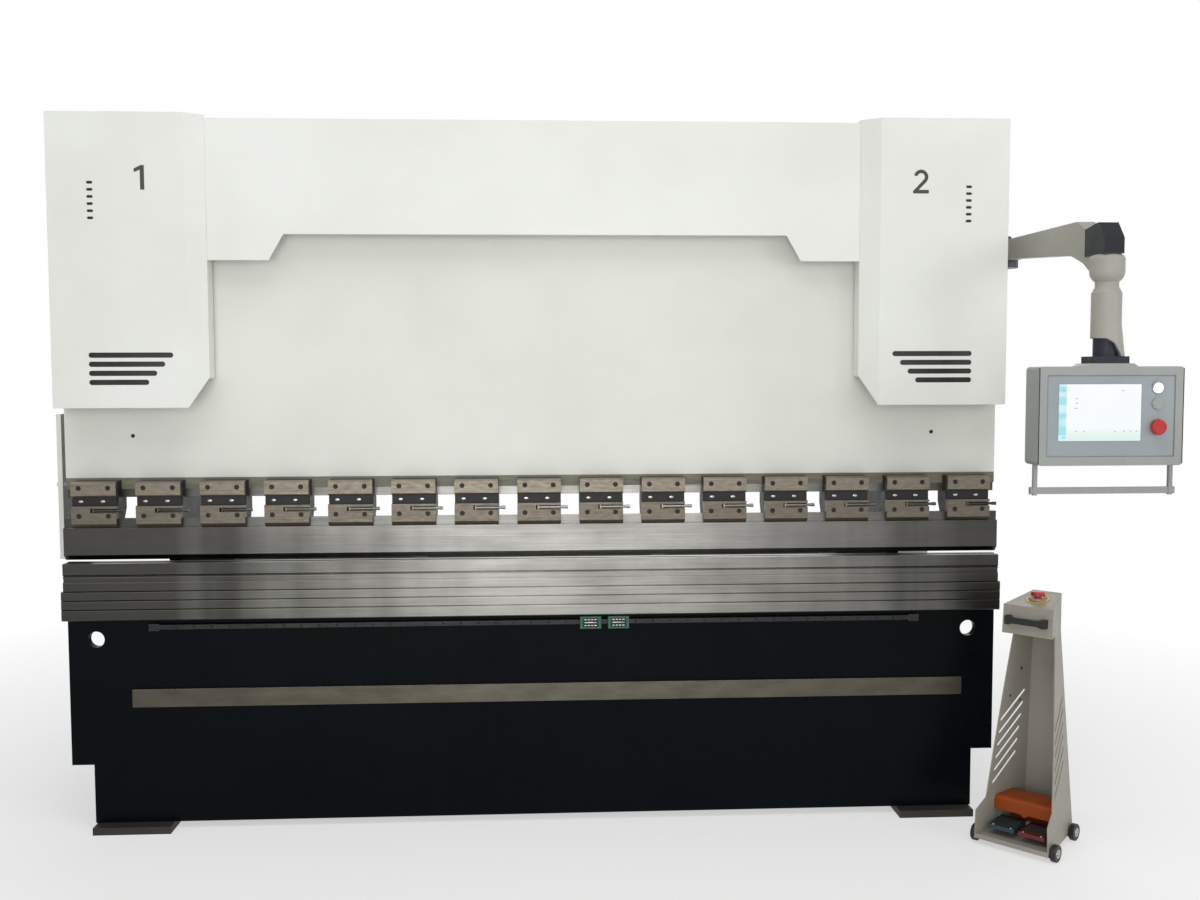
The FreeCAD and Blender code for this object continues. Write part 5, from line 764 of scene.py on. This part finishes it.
def build_cover_screws():
    """Button screws along the outer side of each cover."""
    shape = bmesh.new()
    for name, side in (("left_cover", -1), ("right_cover", 1)):
        low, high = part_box(name)
        x = low[0] if side < 0 else high[0]
        for y in (low[1] + COVER_SCREW_SIDE, high[1] - COVER_SCREW_SIDE):
            for z in (low[2] + COVER_SCREW_END, (low[2] + high[2]) / 2, high[2] - COVER_SCREW_END):
                # The pendant arm's support takes the place of one screw on the right.
                beside_support = y > ARM_SUPPORT_FRONT and ARM_SUPPORT_Z[0] < z < ARM_SUPPORT_Z[1]
                if side < 0 or not beside_support:
                    button_screw(shape, (x, y, z), (side, 0, 0), 6 * MM)
    fitted("cover_side_screws", "machine", bright_steel, shape)


# Pendant

def build_pendant_front():
    """The pendant's front plate, its display and the marks on it."""
    plate = bmesh.new()
    push(plate, rounded_outline(PANEL_LOW, PANEL_HIGH, 5 * MM, PANEL_Y), (0, -1.0 * MM, 0))
    foil = powder_coat("pendant_front_foil", "9fa6a9", "939a9e", "7f8488", 0.42, 2.0 * MM, gloss=0.3)
    fitted("pendant_front_plate", "pendant_box", foil, plate)
    bezel = bmesh.new()
    edge = 3 * MM
    low = (SCREEN_LOW[0] - edge, SCREEN_LOW[1] - edge)
    high = (SCREEN_HIGH[0] + edge, SCREEN_HIGH[1] + edge)
    push(bezel, rounded_outline(low, high, 3 * MM, PANEL_Y - 0.9 * MM), (0, -0.5 * MM, 0))
    grey = moulded_plastic("display_frame_plastic", "8f979b", "b0b5b8", 0.4)
    fitted("display_frame", "pendant_box", grey, bezel)
    glass = bmesh.new()
    push(glass, rounded_outline(SCREEN_LOW, SCREEN_HIGH, 1.5 * MM, PANEL_Y - 1.3 * MM), (0, -0.6 * MM, 0))
    fitted("display_glass_plate", "pendant_box", lit_screen(), glass)
    marks = bmesh.new()
    width = SCREEN_HIGH[0] - SCREEN_LOW[0]
    height = SCREEN_HIGH[1] - SCREEN_LOW[1]
    for across, up, length in SCREEN_MARKS:
        x = SCREEN_LOW[0] + across * width
        z = SCREEN_LOW[1] + up * height
        block(marks, (x, PANEL_Y - 2.1 * MM, z), (x + length * MM, PANEL_Y - 1.8 * MM, z + 3 * MM),
              0.1 * MM)
    pale = moulded_plastic("display_mark_grey", "b4c4c6", "c8d4d4", 0.3)
    fitted("display_marks", "pendant_box", pale, marks)


def build_pendant_buttons():
    """The lit lamp, the grey push button and the ring round the stop button."""
    face = PANEL_Y - 1.0 * MM
    lamp = bmesh.new()
    spin(lamp, (BUTTON_X, face, LAMP_Z), FRONT, [
        (15.5 * MM, 0),
        (15.5 * MM, 4 * MM),
        (13 * MM, 7 * MM),
        (8 * MM, 8.6 * MM),
        (2 * MM, 9 * MM),
    ], 32)
    fitted("lamp_lens_cap", "pendant_box", lit_lens(), lamp)
    rims = bmesh.new()
    for height, radius in ((LAMP_Z, 18 * MM), (KNOB_Z, 15 * MM)):
        spin(rims, (BUTTON_X, face, height), FRONT, [
            (radius, -0.3 * MM),
            (radius, 1.6 * MM),
            (radius - 1.2 * MM, 2.6 * MM),
            (radius - 3.2 * MM, 2.6 * MM),
            (radius - 3.4 * MM, 0.6 * MM),
        ], 32)
    satin = ground_steel("satin_button_rims", "a9adb0", "8d9194", 0.3, 0.02)
    fitted("button_rims", "pendant_box", satin, rims)
    knob = bmesh.new()
    spin(knob, (BUTTON_X, face, KNOB_Z), FRONT, [
        (11.5 * MM, 0.4 * MM),
        (11.5 * MM, 4 * MM),
        (10.5 * MM, 5 * MM),
        (9 * MM, 4.4 * MM),
        (2 * MM, 4.0 * MM),
    ], 32)
    grey = moulded_plastic("grey_button_plastic", "6f7478", "9a9ea0", 0.4)
    fitted("grey_push_button", "pendant_box", grey, knob)
    # The ring's mouth is wider than the stop button, which sinks into it when it is pushed.
    ring = bmesh.new()
    spin(ring, (BUTTON_X, face, STOP_Z), FRONT, [
        (25.5 * MM, -0.3 * MM),
        (25.5 * MM, 2.0 * MM),
        (24.8 * MM, 3.0 * MM),
        (23.6 * MM, 3.0 * MM),
        (23.2 * MM, -0.3 * MM),
    ], 40)
    rose = moulded_plastic("rose_ring_plastic", "c9827a", "dba9a2", 0.35)
    fitted("stop_button_ring", "pendant_box", rose, ring)


def build_pendant_edges():
    """Black edging down both sides of the pendant's face, the handle's end caps and the rear screws."""
    low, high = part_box("pendant_box")
    shape = bmesh.new()
    for x in EDGING_X:
        block(shape, (x, EDGING_Y - 0.6 * MM, EDGING_Z[0]), (x + 3.0 * MM, EDGING_Y + 4 * MM, EDGING_Z[1]),
              0.5 * MM)
    for x in (low[0] + 0.4 * MM, high[0] - 8.8 * MM):
        block(shape, (x, HANDLE_CAP_Y[0], HANDLE_CAP_Z[0]),
              (x + 8.4 * MM, HANDLE_CAP_Y[1], HANDLE_CAP_Z[1]), 1.0 * MM)
    fitted("pendant_edging", "pendant_box", black_moulding, shape)
    screws = bmesh.new()
    for x in PENDANT_SCREWS_X:
        for z in PENDANT_SCREWS_Z:
            button_screw(screws, (x, PENDANT_REAR_Y, z), REAR, 4 * MM)
    fitted("pendant_rear_screws", "pendant_box", bright_steel, screws)


# Foot console

def build_console_top():
    """The yellow ring under the console's stop button."""
    shape = bmesh.new()
    spin(shape, CONSOLE_STOP_PLACE, CONSOLE_TOP_TILT, [
        (39 * MM, -0.5 * MM),
        (39 * MM, 1.2 * MM),
        (38 * MM, 2 * MM),
        (30 * MM, 2 * MM),
        (29 * MM, 0),
    ], 40)
    yellow = moulded_plastic("yellow_ring_plastic", "c4a02c", "d8c274", 0.4)
    fitted("console_stop_ring", "machine", yellow, shape, CONSOLE_PLACE)


def build_pedal_trim(body, side):
    """A pedal's ribbed rubber tread and the two bright screws on its front lip."""
    centre = side * PEDAL_U
    tread = bmesh.new()
    for row in range(TREAD_ROWS):
        v = TREAD_START_V + row * TREAD_PITCH
        z = PEDAL_TOP_Z + (v - PEDAL_LIP_V) * PEDAL_RISE
        block(tread, (centre - TREAD_HALF, v, z - 1 * MM), (centre + TREAD_HALF, v + 4 * MM, z + 1.6 * MM),
              0.8 * MM)
    fitted(body + "_tread", body, pedal_rubber, tread, CONSOLE_PLACE)
    screws = bmesh.new()
    offset, v, z = PEDAL_SCREW_PLACE
    for u in (centre - offset, centre + offset):
        button_screw(screws, (u, v, z), UP, 4.5 * MM)
    fitted(body + "_screws", body, bright_steel, screws, CONSOLE_PLACE)


def build_console_plugs():
    """Black plugs in the console's left wall, which narrows upward and to the rear."""
    shape = bmesh.new()
    for v, z, radius in WALL_PLUGS:
        share = (z - TOWER_BASE_Z) / TOWER_HEIGHT
        front_half, rear_half, depth = [
            at_base + (at_top - at_base) * share
            for at_base, at_top in (TOWER_FRONT_HALF, TOWER_REAR_HALF, TOWER_DEPTH)]
        wall = front_half - (front_half - rear_half) * v / depth
        spin(shape, (-(wall - 2.6) * MM, v * MM, z * MM), RIGHT,
             [(radius * MM, -1 * MM), (radius * MM, 1.2 * MM), (radius * 0.7 * MM, 2.0 * MM)], 20)
    fitted("console_wall_plugs", "machine", black_moulding, shape, CONSOLE_PLACE)


def build_caster_hubs():
    """Steel hubs and axle heads on the outer side of the console's wheels."""
    front_half = TOWER_FRONT_HALF[0]
    rear_half = TOWER_REAR_HALF[0]
    shape = bmesh.new()
    for v in CASTER_DEPTHS:
        wall = front_half - (front_half - rear_half) / TOWER_DEPTH[0] * v
        for side in (-1, 1):
            place = (side * (wall + CASTER_FACE) * MM, v * MM, CASTER_Z * MM)
            spin(shape, place, (side, 0, 0), [
                (15 * MM, -0.5 * MM),
                (14 * MM, 1.2 * MM),
                (7 * MM, 1.2 * MM),
                (7 * MM, 3.4 * MM),
                (5.5 * MM, 4 * MM),
            ])
    fitted("caster_hubs", "machine", bright_steel, shape, CONSOLE_PLACE)


# Cabinet and hydraulics

def build_cabinet_trim():
    """The cabinet door's locks, hinges and pressed louvres."""
    low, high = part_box("electrical_cabinet")
    face = high[0]
    metal = bmesh.new()
    for z in (low[2] + LOCK_FROM_END, high[2] - LOCK_FROM_END):
        spin(metal, (face, low[1] + 45 * MM, z), RIGHT, [
            (15 * MM, -0.3 * MM),
            (15 * MM, 2 * MM),
            (13.5 * MM, 3 * MM),
            (6 * MM, 3 * MM, 3),
            (5 * MM, 1 * MM, 3),
        ])
        spin(metal, (face - 9 * MM, high[1] - 3 * MM, z - 35 * MM), UP,
             [(5 * MM, 0), (6 * MM, 1 * MM), (6 * MM, 69 * MM), (5 * MM, 70 * MM)])
    fitted("cabinet_locks_and_hinges", "machine", bright_steel, metal)
    louvres = bmesh.new()
    front = low[1] + LOUVRE_FROM_FRONT
    for row in range(LOUVRE_ROWS):
        z = low[2] + LOUVRE_FROM_BOTTOM + row * LOUVRE_PITCH
        outline = [(face - 0.2 * MM, front, z), (face + 5 * MM, front, z),
                   (face - 0.2 * MM, front, z + 14 * MM)]
        push(louvres, outline, (0, LOUVRE_LENGTH, 0))
    fitted("cabinet_louvres", "machine", off_white, louvres)


def build_hydraulic_trim():
    """The tank's filler cap and level glass, and the motor's terminal box, cowl and bolts."""
    low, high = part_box("oil_tank")
    rear = high[1]
    bottom = low[2]
    top = high[2]
    axis_z = top + MOTOR_AXIS_OVER_TANK
    cap = bmesh.new()
    spin(cap, (FILLER_X, MOTOR_Y, top), UP,
         [(41 * MM, -18 * MM, 12), (41 * MM, 8 * MM, 12), (38 * MM, 12 * MM), (12 * MM, 15 * MM)], 48)
    fitted("filler_cap", "machine", black_moulding, cap)
    cowl = bmesh.new()
    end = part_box("pump_motor")[1][0]
    spin(cowl, (end - 30 * MM, MOTOR_Y, axis_z), RIGHT, [
        (104 * MM, 0),
        (104 * MM, 34 * MM),
        (98 * MM, 42 * MM),
        (70 * MM, 46 * MM),
        (18 * MM, 47 * MM),
    ], 48)
    fitted("motor_fan_cowl", "machine", navy, cowl)
    box = bmesh.new()
    under, over = TERMINAL_BOX_OVER_AXIS
    block(box, (TERMINAL_BOX_X[0], MOTOR_Y - TERMINAL_BOX_HALF_Y, axis_z + under),
          (TERMINAL_BOX_X[1], MOTOR_Y + TERMINAL_BOX_HALF_Y, axis_z + over), 5 * MM)
    enamel = powder_coat("terminal_box_enamel", "4d5a68", "3f4b57", "8b9199", 0.45)
    fitted("motor_terminal_box", "machine", enamel, box)
    bolts = bmesh.new()
    for index in range(6):
        angle = math.tau * (index + 0.5) / 6
        place = (MOTOR_FLANGE_X, MOTOR_Y + MOTOR_BOLT_CIRCLE * math.cos(angle),
                 axis_z + MOTOR_BOLT_CIRCLE * math.sin(angle))
        hexagon_bolt(bolts, place, LEFT, 8 * MM, 8 * MM)
    for x in MOTOR_FEET_X:
        hexagon_bolt(bolts, (x, MOTOR_FEET_Y, top - MOTOR_FEET_UNDER_TANK_TOP), UP, 7 * MM, 7 * MM)
    for z in LEVEL_BOLTS_Z:
        hexagon_bolt(bolts, (LEVEL_GLASS_X, rear, bottom + z), REAR, 8 * MM, 9 * MM)
    fitted("hydraulic_bolts", "machine", bright_steel, bolts)
    gauge = bmesh.new()
    block(gauge, (LEVEL_GLASS_X - 12 * MM, rear - 1 * MM, bottom + LEVEL_GLASS_Z[0]),
          (LEVEL_GLASS_X + 12 * MM, rear + 9 * MM, bottom + LEVEL_GLASS_Z[1]), 3 * MM)
    amber = moulded_plastic("level_glass_amber", "8a6a26", "c4a868", 0.15, relief=0.03)
    fitted("oil_level_glass", "machine", amber, gauge)


def build_guard_screws():
    """Button screws round the rear guard."""
    low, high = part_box("rear_guard")
    shape = bmesh.new()
    for x in (low[0] + 30 * MM, 0.0, high[0] - 30 * MM):
        for z in (low[2] + 20 * MM, high[2] - 20 * MM):
            button_screw(shape, (x, high[1], z), REAR, 6 * MM)
    fitted("rear_guard_screws", "machine", bright_steel, shape)


# Studio

def seen_rays(tree):
    """A mask that is 1 for what the camera sees, straight on, in a reflection or through glass."""
    rays = add(tree, "ShaderNodeLightPath")
    seen = rays.outputs["Is Camera Ray"]
    for kind in ("Is Glossy Ray", "Is Transmission Ray"):
        seen = add(tree, "ShaderNodeMath", links={0: seen, 1: rays.outputs[kind]},
                   operation="MAXIMUM").outputs[0]
    return seen


def build_floor():
    """A wide pale floor under the machine: it takes the machine's shadow, and turns white far from it."""
    material, tree, shader, place = surface("matt_studio_board", Roughness=0.85)
    colour = ramp(tree, blotches(tree, place, 2.5), [(0.3, "f2f2f0"), (0.7, "f5f5f3")])
    tree.links.new(colour, shader.inputs["Base Color"])
    away = add(tree, "ShaderNodeVectorMath", links={0: place}, operation="LENGTH").outputs["Value"]
    white = add(tree, "ShaderNodeEmission", {"Color": (1, 1, 1, 1), "Strength": 1.0}).outputs[0]
    mask = times(tree, seen_rays(tree), spread(tree, away, 0.5, 1.0, FLOOR_FADE_START, FLOOR_FADE_END))
    blend = add(tree, "ShaderNodeMixShader", links={0: mask, 1: shader.outputs[0], 2: white})
    tree.links.new(blend.outputs[0], tree.nodes["Material Output"].inputs["Surface"])
    mesh = bpy.data.meshes.new("studio_floor")
    corners = ((-1, -1), (1, -1), (1, 1), (-1, 1))
    mesh.from_pydata([(x * FLOOR_HALF, y * FLOOR_HALF, 0) for x, y in corners], [], [(0, 1, 2, 3)])
    floor = bpy.data.objects.new("studio_floor", mesh)
    bpy.context.scene.collection.objects.link(floor)
    mesh.materials.append(material)


def build_world():
    """A white world for the camera and for reflections, and a soft one that lights the object."""
    world = bpy.data.worlds.new("studio_world")
    bpy.context.scene.world = world
    world.use_nodes = True
    tree = world.node_tree
    tree.nodes.clear()
    lit = add(tree, "ShaderNodeBackground", {"Color": linear("f4f6fa"), "Strength": 0.38})
    white = add(tree, "ShaderNodeBackground", {"Color": (1, 1, 1, 1), "Strength": 1.0})
    mix = add(tree, "ShaderNodeMixShader",
              links={0: seen_rays(tree), 1: lit.outputs[0], 2: white.outputs[0]})
    out = add(tree, "ShaderNodeOutputWorld")
    tree.links.new(mix.outputs[0], out.inputs["Surface"])


def softbox(name, place, target, width, height, power):
    """A large soft lamp that faces a point."""
    lamp = bpy.data.lights.new(name, "AREA")
    lamp.shape = "RECTANGLE"
    lamp.size = width
    lamp.size_y = height
    lamp.energy = power
    holder = bpy.data.objects.new(name, lamp)
    bpy.context.scene.collection.objects.link(holder)
    holder.location = place
    direction = Vector(target) - Vector(place)
    holder.rotation_euler = direction.to_track_quat("-Z", "Y").to_euler()


def build_camera():
    """The camera at the photograph's place."""
    data = bpy.data.cameras.new("camera")
    data.lens = CAMERA_LENS
    data.sensor_width = CAMERA_SENSOR
    data.sensor_fit = "HORIZONTAL"
    data.clip_end = 100.0
    camera = bpy.data.objects.new("camera", data)
    bpy.context.scene.collection.objects.link(camera)
    turn = (Matrix.Rotation(-CAMERA_YAW, 4, "Z")
            @ Matrix.Rotation(math.pi / 2 + CAMERA_PITCH, 4, "X")
            @ Matrix.Rotation(CAMERA_ROLL, 4, "Z"))
    camera.matrix_world = Matrix.Translation(CAMERA_PLACE) @ turn
    bpy.context.scene.camera = camera


def build_studio():
    """Floor, background, lamps and camera."""
    build_floor()
    build_world()
    softbox("front_softbox", (-0.5, -7.5, 1.7), (0.0, 0.0, 1.1), 3.6, 3.0, 112.0)
    softbox("right_softbox", (6.0, -6.0, 3.0), (-1.0, 0.0, 1.2), 3.0, 3.0, 90.0)
    softbox("top_softbox", (-0.8, -3.5, 7.0), (-0.4, 0.0, 1.0), 7.0, 4.0, 164.0)
    softbox("rear_softbox", (2.0, 7.0, 5.0), (0.0, 0.0, 1.2), 5.0, 3.0, 140.0)
    bpy.context.scene.view_settings.view_transform = "Standard"
    build_camera()


dress_nodes()
build_clamp_screws()
build_insert_heads()
build_ram_screws()
build_punch_nose()
build_rail_screws()
build_carriage_trim("left_carriage")
build_carriage_trim("right_carriage")
build_anchors()
build_digit("left_cover_number", "left_cover", ONE, LEFT_NUMBER_X)
build_digit("right_cover_number", "right_cover", digit_two(), RIGHT_NUMBER_X)
build_slot_shade_sheets()
build_cover_screws()
build_pendant_front()
build_pendant_buttons()
build_pendant_edges()
build_console_top()
build_pedal_trim("left_pedal", -1)
build_pedal_trim("right_pedal", 1)
build_console_plugs()
build_caster_hubs()
build_cabinet_trim()
build_hydraulic_trim()
build_guard_screws()
build_studio()
